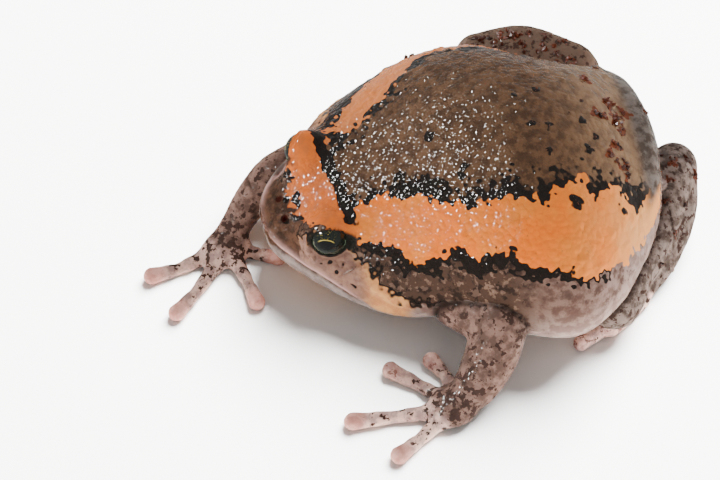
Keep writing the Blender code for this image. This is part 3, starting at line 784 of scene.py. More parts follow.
# Each field is a depth in mm or a share from 0 to 1 of how far a corner belongs to a part
fields["spots"] = deepest_in(SPOTS)
fields["stains"] = deepest_in(STAINS) + 0.15
fields["limb"] = step(trunk - limbs, -0.3, 0.5)
fields["snout"] = -30.0 - along
fields["lip"] = mouth_front * bump_at(up - line, *UPPER_LIP[:2]) * (0.3 + 0.7 * step(np.abs(left), 2.0, 6.5))
# Painted shade: a dark red line along the groove of the mouth
fields["mouth"] = mouth_front * bump_at(up - line, 0.0, 0.16)
below_lip = line - up - 0.7 * (1 - step(np.abs(left), 3.0, 6.0))
fields["jaw"] = np.where(along < -17.0, below_lip, -3.0) * (limbs > 0.6)
# Painted shade: a near-black band where a limb meets the trunk, standing for the shade in that fold
fields["crease"] = np.exp(-(((trunk - limbs) / 0.5) ** 2)) * (up > 6.0) * (np.maximum(trunk, limbs) < 1.5)
nearest_eye = np.full(len(corners), 9.0)
for centre, eye_frame in EYES.values():
    local = (corners - centre) @ eye_frame.T
    reach = np.linalg.norm(local, axis=1)
    off_rim = np.where(reach < EYE_RADIUS + 1.6, np.abs(eye_opening(local, reach)), 9.0)
    nearest_eye = np.minimum(nearest_eye, off_rim)
# Painted shade: a thin near-black line along each lid's edge, standing for the shade in the gap between lid
# and eyeball
fields["lid_rim"] = 1 - step(nearest_eye, 0.06, 0.2)
palms = {side: np.mean([path[0] for path in FINGERS[side]], axis=0) for side in SIDES}
# Two fingers of the left hand lie in the shade of the arm: painted shade makes them browner than the others
shaded_fingers = FINGERS["left"][:2]
tips = np.zeros(len(corners))
digits = np.full(len(corners), 9.0)
for side in SIDES:
    for path in FINGERS[side] + TOES[side]:
        reach = np.linalg.norm(corners[:, :2] - np.array(path[-1]), axis=1)
        # Toes get a weaker pink tip, and so do the two fingers in the arm's shade, where the weaker tip is
        # painted shade
        pink = 0.35 if path in TOES[side] + shaded_fingers else 1.0
        tips = np.maximum(tips, pink * (1 - step(reach, 1.3, 3.0)) * (corners[:, 2] < 3.6))
        digits = np.minimum(digits, tube_distance(corners, digit_rows(path, FINGER_RADII)))
fields["tips"] = tips * fields["limb"]
fields["digits"] = 1 - step(digits, 0.1, 0.9)
# Painted shade: the two fingers in the arm's shade get less of the pale finger paint
for path in shaded_fingers:
    off_finger = tube_distance(corners, digit_rows(path, FINGER_RADII))
    fields["digits"] *= 0.45 + 0.55 * step(off_finger, 0.2, 1.2)
# Painted shade: the right hand lies in shade, so near its palm the fingers get only half of the pale finger
# paint
to_right_palm = np.linalg.norm(corners[:, :2] - palms["right"], axis=1)
fields["digits"] *= 0.5 + 0.5 * step(to_right_palm, 12.0, 18.0)
to_palm = np.min([np.linalg.norm(corners[:, :2] - palm, axis=1) for palm in palms.values()], axis=0)
fields["palm"] = 1 - step(to_palm, 2.0, 8.0)
# Painted shade: a dark red disc in and around each nostril's hole
holes = [np.hypot(left - sign * NOSTRIL[0], along - NOSTRIL[1]) for sign in SIDES.values()]
fields["nostril"] = (1 - step(np.min(holes, axis=0), 0.35, 0.8)) * (up > 12.0)
fields["hind"] = fields["limb"] * step(corners[:, 1], 2.0, 9.0)
fields["soiled"] = fields["limb"] * step(-corners[:, 0], 16.0, 20.0) * step(corners[:, 1], 4.0, 9.0)
dry = 0.5 * fields["limb"] + 0.85 * step(-along, 29.6, 31.5) + 0.5 * (1 - step(in_lids, 3.6, 4.6))
dry -= 0.5 * (1 - step(to_palm, 4.0, 9.0))
# The limbs, the snout and the lids carry less of the wet film, and the palms more
fields["wet"] = np.clip(1 - dry - 0.35 * step(np.abs(angle), 60.0, 80.0), 0.12, 1)
fields["ground"] = 1 - step(corners[:, 2], 0.3, 3.2)
fields["under"] = step(np.abs(angle), 74.0, 100.0) * step(along, -20.0, -12.0)
fields["along"] = along
fields["far_side"] = step(-left, 2.0, 8.0)
fields["rump"] = step(along, 28.5, 31.0) * step(-np.abs(angle), -58.0, -47.0)
# Grains stand highest on the front of the back, lower towards the vent, and are absent on lids and lips
coarse_front = 1 - 0.55 * step(along, 10.0, 24.0)
back_grain = coarse_front * (1 - 0.6 * step(angle, 50.0, 72.0)) * (1 - 0.3 * step(-angle, 30.0, 50.0))
back_grain = step(in_lids, 3.6, 4.3) * (back_grain * (1 - fields["limb"]) + 0.5 * fields["limb"])
fields["grain"] = back_grain * (1 - 0.8 * mouth_front * bump_at(up - line, 0.0, 1.6))
store(skin_mesh, fields)
print("fields stored on", len(corners), "corners:", ", ".join(fields))

# %% [markdown]
# ## Materials
# Frog skin is thin, wet and slightly see-through. Colours are given as the hex values a painter would
# pick and turned to linear light by one function. One more function adds a node: its properties are
# given by name, and each socket gets a value or a link from another node.

# %% Helpers for materials


def colour(text):
    """sRGB hex to linear RGBA."""
    parts = [int(text[i : i + 2], 16) / 255 for i in (1, 3, 5)]
    return (*[c / 12.92 if c <= 0.04045 else ((c + 0.055) / 1.055) ** 2.4 for c in parts], 1.0)


def add(tree, kind, sockets=None, out=0, **settings):
    """Adds a node, sets its properties, fills or links its sockets, and gives back one output."""
    node = tree.nodes.new(kind)
    for key, value in settings.items():
        setattr(node, key, value)
    for key, value in (sockets or {}).items():
        if isinstance(value, bpy.types.NodeSocket):
            tree.links.new(value, node.inputs[key])
        else:
            node.inputs[key].default_value = value
    return node.outputs[out]


def new_material(name):
    made = bpy.data.materials.new(name)
    made.use_nodes = True
    return made, made.node_tree, made.node_tree.nodes["Principled BSDF"]


print("orange in linear light:", [round(c, 3) for c in colour("#E77A25")])

# %% [markdown]
# ## Wet frog skin
# Real amphibian skin is a soft layer of pigment under a clear film of mucus. Rough pigment under a
# glossy coat gives the eye dull, deep colours with small hard glints on every grain. The pattern comes
# in three parts: noises for mottling, borders made ragged by those noises, and layers of colour laid
# over each other from the flank up to the smallest spots.

# %% Noises, stored fields and ragged borders
wet_skin, tree, shader = new_material("wet_frog_skin")
place = add(tree, "ShaderNodeTexCoord", out="Object")
field = {name: add(tree, "ShaderNodeAttribute", out="Fac", attribute_name=name) for name in fields}
# name, distance between lumps in mm, detail, roughness, seed
NOISES = (
    ("mottle", 1.7, 4.0, 0.6, 1.0), ("blotch", 3.0, 3.0, 0.55, 4.0), ("speck", 0.6, 2.0, 0.6, 5.0),
    ("cloud", 7.0, 3.0, 0.5, 2.0), ("ragged", 2.6, 1.0, 0.5, 7.0), ("torn", 0.95, 0.0, 0.5, 9.0),
    ("grit", 0.34, 1.0, 0.5, 3.0), ("marbling", 1.25, 3.0, 0.6, 8.0),
)
noises = {}
for name, size, detail, rough, seed in NOISES:
    noises[name] = add(
        tree, "ShaderNodeTexNoise",
        {"Vector": place, "W": seed, "Scale": 1 / (size * MM), "Detail": detail, "Roughness": rough},
        noise_dimensions="4D",
    )
# border: how far coarse and fine noise move it, in mm
RAGGED = {
    "patch": (1.8, 1.5), "rim": (5.0, 4.0), "front": (0.8, 0.8), "stripe": (2.0, 1.9), "lined": (2.4, 2.4),
    "band": (2.4, 2.0), "snout": (4.0, 2.5), "spots": (0.6, 0.7), "stains": (1.4, 1.4), "jaw": (0.4, 0.3),
}
for name, (coarse, fine) in RAGGED.items():
    moved = add(tree, "ShaderNodeMath", {0: noises["ragged"], 1: coarse * 2, 2: field[name]},
                operation="MULTIPLY_ADD")
    moved = add(tree, "ShaderNodeMath", {0: noises["torn"], 1: fine * 2, 2: moved},
                operation="MULTIPLY_ADD")
    field[name] = add(tree, "ShaderNodeMath", {0: moved, 1: coarse + fine}, operation="SUBTRACT")
print("ragged borders:", len(RAGGED))

# %% Masks from fields and noises
limb_marks = add(tree, "ShaderNodeMath", {0: field["palm"], 1: 0.07, 2: noises["marbling"]},
                 operation="MULTIPLY_ADD")
# mask: source, value where it starts, value where it is full
MASKS = {
    "patch": (field["patch"], -0.1, 0.1), "rim": (field["rim"], -0.7, 0.7),
    "front": (field["front"], -0.1, 0.15),
    "stripe": (field["stripe"], -0.12, 0.12), "lined": (field["lined"], -0.15, 0.15),
    "band": (field["band"], -0.5, 0.5), "snout": (field["snout"], -0.8, 0.8),
    "spots": (field["spots"], -0.15, 0.1), "stains": (field["stains"], -0.15, 0.1),
    "jaw": (field["jaw"], -0.2, 0.5), "throat": (field["jaw"], 2.5, 5.0),
    "mottle": (noises["mottle"], 0.40, 0.60), "dark_mottle": (noises["mottle"], 0.52, 0.60),
    "blotch": (noises["blotch"], 0.54, 0.60), "speck": (noises["speck"], 0.54, 0.66),
    "marbling": (limb_marks, 0.55, 0.60),
    "cloud": (noises["cloud"], 0.38, 0.66), "band_edge": (field["band"], 1.5, 0.9),
    "far_side": (field["far_side"], 0.0, 1.0), "pale_blotch": (noises["marbling"], 0.46, 0.41),
    "few_specks": (noises["speck"], 0.66, 0.72),
    "rear": (field["along"], 12.0, 27.0), "behind_arm": (field["along"], 2.0, 11.0),
    "not_last": (field["along"], 21.5, 19.5), "head_front": (field["along"], -19.5, -23.0),
    "ahead_of_arm": (field["along"], -13.0, -16.0), "head": (field["along"], -19.0, -24.0),
}
mask = {}
for name, (source, start, full) in MASKS.items():
    mask[name] = add(tree, "ShaderNodeMapRange", {"Value": source, "From Min": start, "From Max": full},
                     interpolation_type="SMOOTHSTEP")
# Two masks at once: name, first, second, and whether the second one is turned round
BOTH = (
    ("stripe_line", "lined", "not_last", False), ("patch_rim", "patch", "rim", False),
    ("flank_blotches", "blotch", "mottle", False), ("band_front", "band", "behind_arm", True),
    ("cheek", "ahead_of_arm", "band", True), ("cheek_front", "cheek", "head_front", False),
    ("band_line", "band_front", "band_edge", False), ("head_stripe", "stripe", "head", False),
    ("rear_patch", "patch", "rear", False), ("rear_stripe", "stripe", "rear", False),
    # Painted shade: the stripe on the frog's far, right side takes a duller, darker copy of the orange
    ("shaded_far_stripe", "stripe", "far_side", False), ("stripe_specks", "stripe", "few_specks", False),
    ("band_flecks", "band_front", "pale_blotch", False),
)
for name, first, second, turned_round in BOTH:
    other = mask[second]
    if turned_round:
        other = add(tree, "ShaderNodeMath", {0: 1.0, 1: other}, operation="SUBTRACT")
    mask[name] = add(tree, "ShaderNodeMath", {0: mask[first], 1: other}, operation="MULTIPLY")
print("masks:", len(mask))

# %% Layers of colour
# Each paint mixes two hex colours by a mask
PAINTS = {
    "flank": ("#6E564B", "#503A32", "mottle"), "pale_flank": ("#87716A", "#6E5950", "mottle"),
    "dark_band": ("#3D2C23", "#241A15", "dark_mottle"), "tan": ("#C08750", "#AC7046", "mottle"),
    "cheek": ("#7E5D4E", "#664C42", "mottle"), "orange": ("#D2650E", "#CC7022", "cloud"),
    "pale_orange": ("#CF7E3A", "#C4844C", "cloud"),
    # Painted shade: a duller, darker copy of the orange for the stripe on the far side
    "shaded_far_orange": ("#BE6C34", "#B26A3C", "cloud"), "fleck": ("#6A5244", "#523E34", "mottle"),
    "hind": ("#77675F", "#483C36", "mottle"), "soiled": ("#5C4A3F", "#2E231D", "marbling"),
    "coppery": ("#C46224", "#B45E2C", "mottle"), "brown": ("#5A402C", "#402C1E", "mottle"),
    "rear_brown": ("#745941", "#624B38", "mottle"), "snout": ("#50372A", "#36271F", "mottle"),
    "limb": ("#7C6055", "#56423A", "mottle"), "belly": ("#A48C81", "#886F66", "mottle"),
    "jaw": ("#80706A", "#665852", "mottle"), "rump": ("#625852", "#40362F", "mottle"),
    "stain": ("#5A2A14", "#2C140C", "speck"), "tip": ("#CF9A8C", "#B47C70", "mottle"),
    "digit": ("#EEC4B2", "#B4928A", "mottle"),
}
paint = {}
for name, (light, dark, by) in PAINTS.items():
    paint[name] = add(
        tree, "ShaderNodeMix", {0: mask[by], 6: colour(light), 7: colour(dark)}, 2, data_type="RGBA",
    )
BLACK = colour("#16100C")
# From the flank up: what covers what, and where
LAYERS = (
    ("rear", paint["pale_flank"]), ("flank_blotches", colour("#4A3730")), (field["under"], paint["belly"]),
    ("band_front", paint["dark_band"]), ("band_flecks", paint["fleck"]), ("band_line", BLACK),
    ("cheek", paint["tan"]), ("cheek_front", paint["cheek"]), ("stripe_line", BLACK),
    ("stripe", paint["orange"]), ("stripe_specks", colour("#A0602C")), ("rear_stripe", paint["pale_orange"]),
    # Painted shade: the far side's stripe is laid in the darker orange
    ("shaded_far_stripe", paint["shaded_far_orange"]), ("head_stripe", paint["coppery"]), ("snout", paint["snout"]),
    ("jaw", paint["jaw"]), ("throat", paint["tan"]), ("patch", paint["brown"]),
    ("rear_patch", paint["rear_brown"]), ("patch_rim", BLACK), ("front", BLACK),
    (field["rump"], paint["rump"]), ("spots", BLACK), ("stains", paint["stain"]),
    (field["limb"], paint["limb"]), (field["hind"], paint["hind"]), (field["soiled"], paint["soiled"]),
)
skin_paint = paint["flank"]
for where, what in LAYERS:
    factor = mask[where] if isinstance(where, str) else where
    skin_paint = add(tree, "ShaderNodeMix", {0: factor, 6: skin_paint, 7: what}, 2, data_type="RGBA")
limb_blotch = add(tree, "ShaderNodeMath", {0: mask["marbling"], 1: field["limb"]}, operation="MULTIPLY")
LIMB_LAYERS = (
    (field["digits"], paint["digit"]), (limb_blotch, colour("#3A2B26")), (field["tips"], paint["tip"]),
    # Painted shade where the limbs meet the trunk
    (field["crease"], colour("#1E1512")), (field["lip"], colour("#A07C74")),
    # Painted shade in the gap between each lid and its eyeball
    # Painted shade in the groove of the mouth
    (field["mouth"], colour("#5A2E28")), (field["lid_rim"], colour("#191713")),
    # Painted shade in the holes of the nostrils
    (field["nostril"], colour("#33110C")),
)
for factor, what in LIMB_LAYERS:
    skin_paint = add(tree, "ShaderNodeMix", {0: factor, 6: skin_paint, 7: what}, 2, data_type="RGBA")
tree.links.new(skin_paint, shader.inputs["Base Color"])
tree.links.new(field["wet"], shader.inputs["Coat Weight"])
print("layers of colour:", len(LAYERS) + len(LIMB_LAYERS))

# %% Grains and the wet film
# Grains about a millimetre apart, each a low dome, with fine grit on top that breaks the film's glints
GRAIN_SPACING, GRAIN_HEIGHT = 0.95, 0.17
dome = add(
    tree, "ShaderNodeTexVoronoi", {"Vector": place, "Scale": 1 / (GRAIN_SPACING * MM), "Randomness": 0.9},
)
dome = add(tree, "ShaderNodeMath", {0: dome, 1: dome}, operation="MULTIPLY")
dome = add(tree, "ShaderNodeMath", {0: dome, 1: -1.6, 2: 1.0}, operation="MULTIPLY_ADD")
height = add(tree, "ShaderNodeMath", {0: noises["grit"], 1: 0.35, 2: dome}, operation="MULTIPLY_ADD")
height = add(tree, "ShaderNodeMath", {0: height, 1: field["grain"]}, operation="MULTIPLY")
bumps = {"Height": height, "Strength": 1.0, "Distance": GRAIN_HEIGHT * MM}
film = add(tree, "ShaderNodeBump", bumps, "Normal")
tree.links.new(film, shader.inputs["Normal"])
tree.links.new(film, shader.inputs["Coat Normal"])
shader.inputs["IOR"].default_value = 1.4
shader.inputs["Roughness"].default_value = 0.55
shader.inputs["Specular IOR Level"].default_value = 0.0
shader.inputs["Subsurface Weight"].default_value = 0.12
shader.inputs["Subsurface Radius"].default_value = (1.0, 0.45, 0.3)
shader.inputs["Subsurface Scale"].default_value = 0.5 * MM
shader.inputs["Coat Roughness"].default_value = 0.035
shader.inputs["Coat IOR"].default_value = 1.36
skin_mesh.materials.append(wet_skin)
print("grains per square centimetre:", round(100 / GRAIN_SPACING**2))

# %% [markdown]
# ## Eyes
# A frog's eye is a ball under a clear, wet cornea. The iris is almost black, dusted with gold above the
# pupil, and the pupil is a dark oval that lies level. Each ball stores where its surface looks, so that
# the iris can be drawn in the eye's own directions.

# %% Eyeballs
shown_eyes = []
for side, (centre, eye_frame) in EYES.items():
    work = bmesh.new()
    bmesh.ops.create_uvsphere(work, u_segments=64, v_segments=40, radius=EYE_RADIUS)
    turn = Matrix([list(row) for row in eye_frame]).transposed().to_4x4()
    spin = Matrix.Rotation(math.radians(90), 4, "Y")
    bmesh.ops.transform(work, matrix=turn @ spin, verts=work.verts)
    ball = bpy.data.meshes.new("eyeball_" + side)
    work.to_mesh(ball)
    work.free()
    points = np.array([vertex.co[:] for vertex in ball.vertices])
    local = points @ eye_frame.T / EYE_RADIUS
    from_lid = eye_opening(local, np.ones(len(local)))
    backward = local[:, 1] * SIDES[side]
    store(ball, {"iris_along": backward, "iris_up": local[:, 2], "from_lid": from_lid})
    ball.vertices.foreach_set("co", centred(points + centre).ravel())
    ball.shade_smooth()
    eyeball = bpy.data.objects.new("eyeball_" + side, ball)
    bpy.context.scene.collection.objects.link(eyeball)
    shown_eyes.append((side, eyeball))
print("eyeballs:", len(shown_eyes))

# %% Wet eye
# A dark iris behind a clear, smooth cornea: it looks black until it mirrors the light
wet_eye, tree, shader = new_material("wet_eye")
place = add(tree, "ShaderNodeTexCoord", out="Object")
level = add(tree, "ShaderNodeAttribute", out="Fac", attribute_name="iris_along")
upward = add(tree, "ShaderNodeAttribute", out="Fac", attribute_name="iris_up")
rim = add(tree, "ShaderNodeAttribute", out="Fac", attribute_name="from_lid")
flecks = add(tree, "ShaderNodeTexNoise", {"Vector": place, "Scale": 1 / (0.3 * MM), "Detail": 3.0})
PUPIL_LONG, PUPIL_TALL = 0.42, 0.30
wide = add(tree, "ShaderNodeMath", {0: level, 1: 1 / PUPIL_LONG, 2: 0.40}, operation="MULTIPLY_ADD")
wide = add(tree, "ShaderNodeMath", {0: wide, 1: wide}, operation="MULTIPLY")
tall = add(tree, "ShaderNodeMath", {0: upward, 1: 1 / PUPIL_TALL, 2: -0.05}, operation="MULTIPLY_ADD")
tall = add(tree, "ShaderNodeMath", {0: tall, 1: tall, 2: wide}, operation="MULTIPLY_ADD")
oval = add(tree, "ShaderNodeMath", {0: tall}, operation="SQRT")
EYE_MASKS = {
    "gold": (flecks, 0.55, 0.66), "upper": (upward, 0.24, 0.40), "pupil": (oval, 1.04, 0.98),
    "ring_in": (oval, 1.0, 1.06), "ring_out": (oval, 1.22, 1.14), "ring_up": (upward, 0.14, 0.26),
    "low": (upward, -0.15, -0.45), "ahead": (level, 0.42, 0.10), "behind": (level, -0.72, -0.48),
    "lid_in": (rim, -0.42, -0.32), "lid_out": (rim, -0.14, -0.22), "low_rim": (upward, 0.25, -0.1),
}
eye_mask = {}
for name, (source, start, full) in EYE_MASKS.items():
    eye_mask[name] = add(tree, "ShaderNodeMapRange", {"Value": source, "From Min": start, "From Max": full},
                         interpolation_type="SMOOTHSTEP")
# Each pattern is its masks multiplied
EYE_PATTERNS = {
    # Painted reflection: a pale grey-green band on the lower eyeball, just inside the lid's edge
    "dusted": ("gold", "upper", "ahead", "behind"), "lid_reflection": ("lid_in", "lid_out", "low_rim"),
    "arc": ("ring_in", "ring_out", "ring_up"),
}
for name, (first, *others) in EYE_PATTERNS.items():
    eye_mask[name] = eye_mask[first]
    for other in others:
        eye_mask[name] = add(
            tree, "ShaderNodeMath", {0: eye_mask[name], 1: eye_mask[other]}, operation="MULTIPLY",
        )
iris = colour("#0F140F")
IRIS_LAYERS = (
    ("low", "#181E17"), ("dusted", "#6E6024"), ("pupil", "#060807"), ("arc", "#9A8840"),
    # Painted reflection along the lower lid's edge
    ("lid_reflection", "#4C5644"),
)
for name, text in IRIS_LAYERS:
    iris = add(tree, "ShaderNodeMix", {0: eye_mask[name], 6: iris, 7: colour(text)}, 2, data_type="RGBA")
tree.links.new(iris, shader.inputs["Base Color"])
shader.inputs["Roughness"].default_value = 0.12
shader.inputs["IOR"].default_value = 1.38
shader.inputs["Coat Weight"].default_value = 0.4
shader.inputs["Coat Roughness"].default_value = 0.03
for side, eyeball in shown_eyes:
    eyeball.data.materials.append(wet_eye)
print("pupil", round(2 * PUPIL_LONG * EYE_RADIUS, 1), "mm wide")

# %% [markdown]
# ## Crumbs of soil
# This frog has just dug itself out, so rusty crumbs of wet soil stick to its rump and hind legs. Where
# each clump sits is listed once. A fixed seed strews a few bits about every clump and they are moved onto
# the skin. A Geometry Nodes tree then sets one small rough ball of 80 faces on each, turned and stretched.

# %% Where the clumps sit
HIND_CLUMPS = (
    (-24.9, 11.6, 14.2, 0.8), (-27.5, 14.0, 14.6, 0.9), (-28.9, 16.8, 15.0, 1.0), (-28.0, 20.0, 15.0, 1.0),
    (-26.6, 22.4, 14.4, 1.1), (-25.0, 25.0, 14.0, 0.9), (-31.0, 12.0, 13.8, 0.9), (-31.8, 15.0, 15.0, 0.8),
    (-32.0, 18.5, 15.0, 0.7), (-22.0, 18.0, 17.6, 0.9), (-20.5, 21.0, 17.4, 0.8), (6.0, 33.0, 11.4, 0.6),
    (3.0, 36.0, 12.8, 0.7), (9.0, 33.5, 11.0, 0.6), (0.5, 37.6, 13.4, 0.8), (13.0, 31.0, 9.4, 0.5),
    (-2.2, 35.7, 14.0, 0.7), (-0.5, 37.8, 14.0, 0.9), (-1.1, 40.8, 12.0, 0.9), (1.0, 41.6, 10.0, 1.1),
    (3.0, 36.1, 12.0, 0.8), (6.9, 33.7, 11.0, 0.8), (6.0, 37.2, 9.0, 0.7), (10.7, 34.0, 8.0, 0.7),
    (15.8, 30.3, 7.0, 0.6), (-33.0, 13.3, 15.0, 1.2), (-31.5, 16.7, 15.0, 1.3), (-30.8, 21.2, 15.0, 1.0),
    (-32.7, 9.2, 15.0, 1.3), (-29.2, 24.1, 14.0, 0.8), (-27.6, -4.7, 20.0, 0.8),
)
clumps = [(*posed(*spot[:3]), spot[3] * 1.1) for spot in STAINS]
clumps += [(*posed(*spot[:3]), spot[3] * 0.5) for spot in SPOTS if spot[1] > 10]
clumps += list(HIND_CLUMPS)
BITS_A_CLUMP, CRUMB_SEED = 6, 7
chance = np.random.default_rng(CRUMB_SEED)


def onto_skin(places, tries=3):
    """Moves places to the nearest skin."""
    for _ in range(tries):
        whole = frog_distance(places)[0]
        slope = field_slope(places, whole, 0.05)
        slope /= np.maximum(np.linalg.norm(slope, axis=1), 1e-9)[:, None]
        places = places - np.clip(whole, -3, 3)[:, None] * slope
    return places


centres = onto_skin(np.array(clumps)[:, :3])
sizes = np.repeat(np.array(clumps)[:, 3], BITS_A_CLUMP)
bits = np.repeat(centres, BITS_A_CLUMP, axis=0)
bits += chance.normal(0, 0.55, bits.shape) * sizes[:, None]
bits = onto_skin(bits)
tints = np.repeat(chance.uniform(0, 0.7, len(centres)), BITS_A_CLUMP) + chance.uniform(0, 0.3, len(bits))
stuck = np.abs(frog_distance(bits)[0]) < 0.1
bit_mesh = bpy.data.meshes.new("bit_places")
bit_mesh.from_pydata(centred(bits[stuck]).tolist(), [], [])
store(bit_mesh, {"bit_size": sizes[stuck] * MM, "tint": tints[stuck]})
crumbs = bpy.data.objects.new("soil_crumbs", bit_mesh)
bpy.context.scene.collection.objects.link(crumbs)
print("clumps:", len(centres), "bits:", int(stuck.sum()))

# %% Wet soil
# Crumbs of laterite soil, from almost black to rust, with a damp shine
soil, tree, shader = new_material("wet_red_soil")
tint = add(tree, "ShaderNodeAttribute", out="Fac", attribute_name="tint")
soil_paint = add(
    tree, "ShaderNodeMix", {0: tint, 6: colour("#1A110C"), 7: colour("#682C10")}, 2, data_type="RGBA",
)
tree.links.new(soil_paint, shader.inputs["Base Color"])
shader.inputs["Roughness"].default_value = 0.4
shader.inputs["Coat Weight"].default_value = 0.2
print("soil:", soil.name)

# %% The tree that sets a rough bit on every place
strew = bpy.data.node_groups.new("strewn_crumbs", "GeometryNodeTree")
strew.interface.new_socket("Geometry", in_out="INPUT", socket_type="NodeSocketGeometry")
scale_input = strew.interface.new_socket("Bit scale", in_out="INPUT", socket_type="NodeSocketFloat")
seed_input = strew.interface.new_socket("Seed", in_out="INPUT", socket_type="NodeSocketInt")
strew.interface.new_socket("Geometry", in_out="OUTPUT", socket_type="NodeSocketGeometry")
given = strew.nodes.new("NodeGroupInput")
bit_size = add(strew, "GeometryNodeInputNamedAttribute", {"Name": "bit_size"}, "Attribute")
points = add(strew, "GeometryNodeMeshToPoints", {"Mesh": given.outputs["Geometry"]})
ball = add(strew, "GeometryNodeMeshIcoSphere", {"Radius": 1.0, "Subdivisions": 2})
rough_ball = add(strew, "ShaderNodeTexNoise", {"Scale": 1.2, "Detail": 2.0}, "Color")
rough_ball = add(strew, "ShaderNodeVectorMath", {0: rough_ball, 1: (0.5, 0.5, 0.5)}, operation="SUBTRACT")
rough_ball = add(strew, "ShaderNodeVectorMath", {0: rough_ball, "Scale": 3.2}, operation="SCALE")
ball = add(strew, "GeometryNodeSetPosition", {"Geometry": ball, "Offset": rough_ball})
turn = add(
    strew, "FunctionNodeRandomValue",
    {0: (0.0, 0.0, 0.0), 1: (6.28, 6.28, 6.28), "Seed": given.outputs["Seed"]}, data_type="FLOAT_VECTOR",
)
share = add(
    strew, "FunctionNodeRandomValue",
    {0: (0.35, 0.3, 0.25), 1: (1.3, 0.9, 0.6), "Seed": given.outputs["Seed"]}, data_type="FLOAT_VECTOR",
)
share = add(strew, "ShaderNodeVectorMath", {0: share, "Scale": bit_size}, operation="SCALE")
bit_scale = given.outputs["Bit scale"]
share = add(strew, "ShaderNodeVectorMath", {0: share, "Scale": bit_scale}, operation="SCALE")
crumb_bits = add(
    strew, "GeometryNodeInstanceOnPoints",
    {"Points": points, "Instance": ball, "Rotation": turn, "Scale": share},
)
crumb_bits = add(strew, "GeometryNodeRealizeInstances", {"Geometry": crumb_bits})
crumb_bits = add(strew, "GeometryNodeSetMaterial", {"Geometry": crumb_bits, "Material": soil})
shown = strew.nodes.new("NodeGroupOutput")
strew.links.new(crumb_bits, shown.inputs["Geometry"])
strewing = crumbs.modifiers.new("strewn_crumbs", "NODES")
strewing.node_group = strew
strewing[scale_input.identifier] = 0.62
strewing[seed_input.identifier] = CRUMB_SEED
graph = bpy.context.evaluated_depsgraph_get()
crumb_mesh = bpy.data.meshes.new_from_object(crumbs.evaluated_get(graph))
crumbs.modifiers.clear()
crumbs.data = crumb_mesh
crumb_mesh.name = "soil_crumbs"
crumb_mesh.materials.clear()
crumb_mesh.materials.append(soil)
print("crumbs:", len(crumb_mesh.polygons), "faces")

# %% [markdown]
# ## Put the skin in the solids' place
# The skin stands for every solid of flesh and rides on the one body that the still model has. Each
# eyeball takes the place of its plain ball.

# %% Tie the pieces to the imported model
flesh = sorted(name for name in frame["nodes"] if not name.startswith("eye_"))
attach(skin, "root")
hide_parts(*flesh)
for side, eyeball in shown_eyes:
    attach(eyeball, "root")
    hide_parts("eye_" + side)
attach(crumbs, "root")
print("nodes of flesh under the skin:", len(flesh))

# %% [markdown]
# ## Camera, floor and light
# The photograph looks down on the frog's left side from well above, with a long lens. The floor is
# white. A broad key light stands ahead of the frog and a wide one over it, and neither is mirrored in the
# wet skin. Two small lamps are seen in the film alone, so that every grain on the front of the back holds
# a hard point of light. A last soft light lies on the floor alone and keeps it white.

# %% Camera
CAMERA_TURN, CAMERA_HEIGHT = math.radians(80.7), math.radians(54.6)
CAMERA_REACH, CAMERA_TARGET = 380.0, (5.19, -18.76, 10.0)
# The lens is so long that 2202 pixels of the picture, 720 wide, span as much as the camera's distance
FOCAL_PIXELS, PICTURE_WIDTH, SENSOR_MM = 2202, 720, 36.0
toward = Vector((
    math.sin(CAMERA_TURN) * math.cos(CAMERA_HEIGHT),
    -math.cos(CAMERA_TURN) * math.cos(CAMERA_HEIGHT),
    math.sin(CAMERA_HEIGHT),
))
target = Vector(centred(np.array(CAMERA_TARGET)))
camera_data = bpy.data.cameras.new("camera")
camera_data.sensor_width = SENSOR_MM
camera_data.lens = FOCAL_PIXELS / PICTURE_WIDTH * SENSOR_MM
camera_data.clip_start = 0.01
camera = bpy.data.objects.new("camera", camera_data)
camera.location = target + toward * CAMERA_REACH * MM
camera.rotation_euler = toward.to_track_quat("Z", "Y").to_euler()
bpy.context.scene.collection.objects.link(camera)
bpy.context.scene.camera = camera
print("lens:", round(camera_data.lens, 1), "mm")

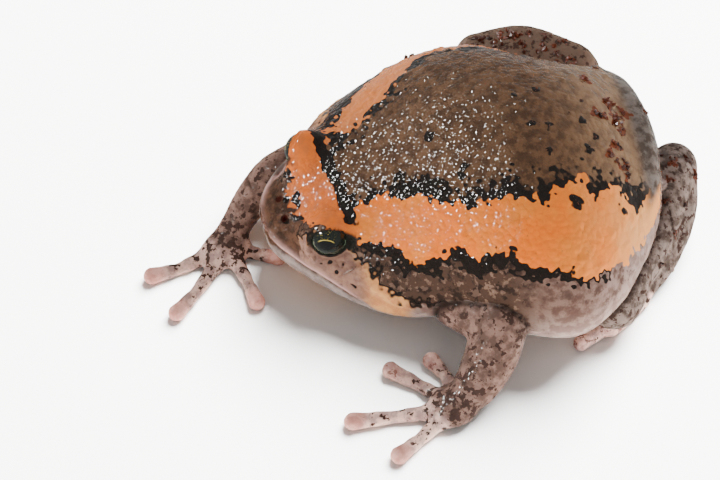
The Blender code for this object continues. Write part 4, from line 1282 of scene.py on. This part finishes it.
# %% Floor
# Plain white paper: pressed fibres with no coating, so that it stays matt and mirrors nothing
floor_mesh = bpy.data.meshes.new("floor")
floor_mesh.from_pydata([(-3, -3, 0), (3, -3, 0), (3, 3, 0), (-3, 3, 0)], [], [(0, 1, 2, 3)])
floor = bpy.data.objects.new("floor", floor_mesh)
bpy.context.scene.collection.objects.link(floor)
paper, tree, shader = new_material("white_paper")
shader.inputs["Base Color"].default_value = colour("#F6F5F3")
shader.inputs["Roughness"].default_value = 0.9
floor_mesh.materials.append(paper)
floor.visible_glossy = False
print("floor at", floor_mesh.vertices[0].co.z, "m")

# %% Light
world = bpy.data.worlds.new("studio")
bpy.context.scene.world = world
world.use_nodes = True
backdrop = world.node_tree.nodes["Background"]
backdrop.inputs["Color"].default_value = (1.0, 1.0, 1.0, 1.0)
backdrop.inputs["Strength"].default_value = 0.45


def soft_light(name, place, size, power):
    lamp = bpy.data.lights.new(name, "AREA")
    lamp.shape = "DISK"
    lamp.size = size
    lamp.energy = power
    made = bpy.data.objects.new(name, lamp)
    made.location = place
    made.rotation_euler = (Vector(place) - target).to_track_quat("Z", "Y").to_euler()
    bpy.context.scene.collection.objects.link(made)
    return made


key = soft_light("key", (-0.25, -0.72, 0.62), 0.5, 7.0)
fill = soft_light("fill", (0.35, 0.45, 1.0), 0.8, 10.0)
sparkle = soft_light("sparkle", (-0.44, -0.42, 0.80), 0.12, 12.0)
near_sparkle = soft_light("near_sparkle", (0.04, -0.80, 0.60), 0.12, 12.0)
for lamp in (sparkle, near_sparkle):
    lamp.visible_diffuse = False
for lamp in (key, fill):
    lamp.visible_glossy = False
over_floor = soft_light("over_floor", (-0.55, 0.5, 0.9), 0.9, 190.0)
lit = bpy.data.collections.new("floor_only")
lit.objects.link(floor)
over_floor.light_linking.receiver_collection = lit
on_frog = bpy.data.collections.new("frog_only")
for obj in bpy.data.objects:
    if obj.type == "MESH" and obj is not floor:
        on_frog.objects.link(obj)
for lamp in (key, fill, sparkle, near_sparkle):
    lamp.light_linking.receiver_collection = on_frog
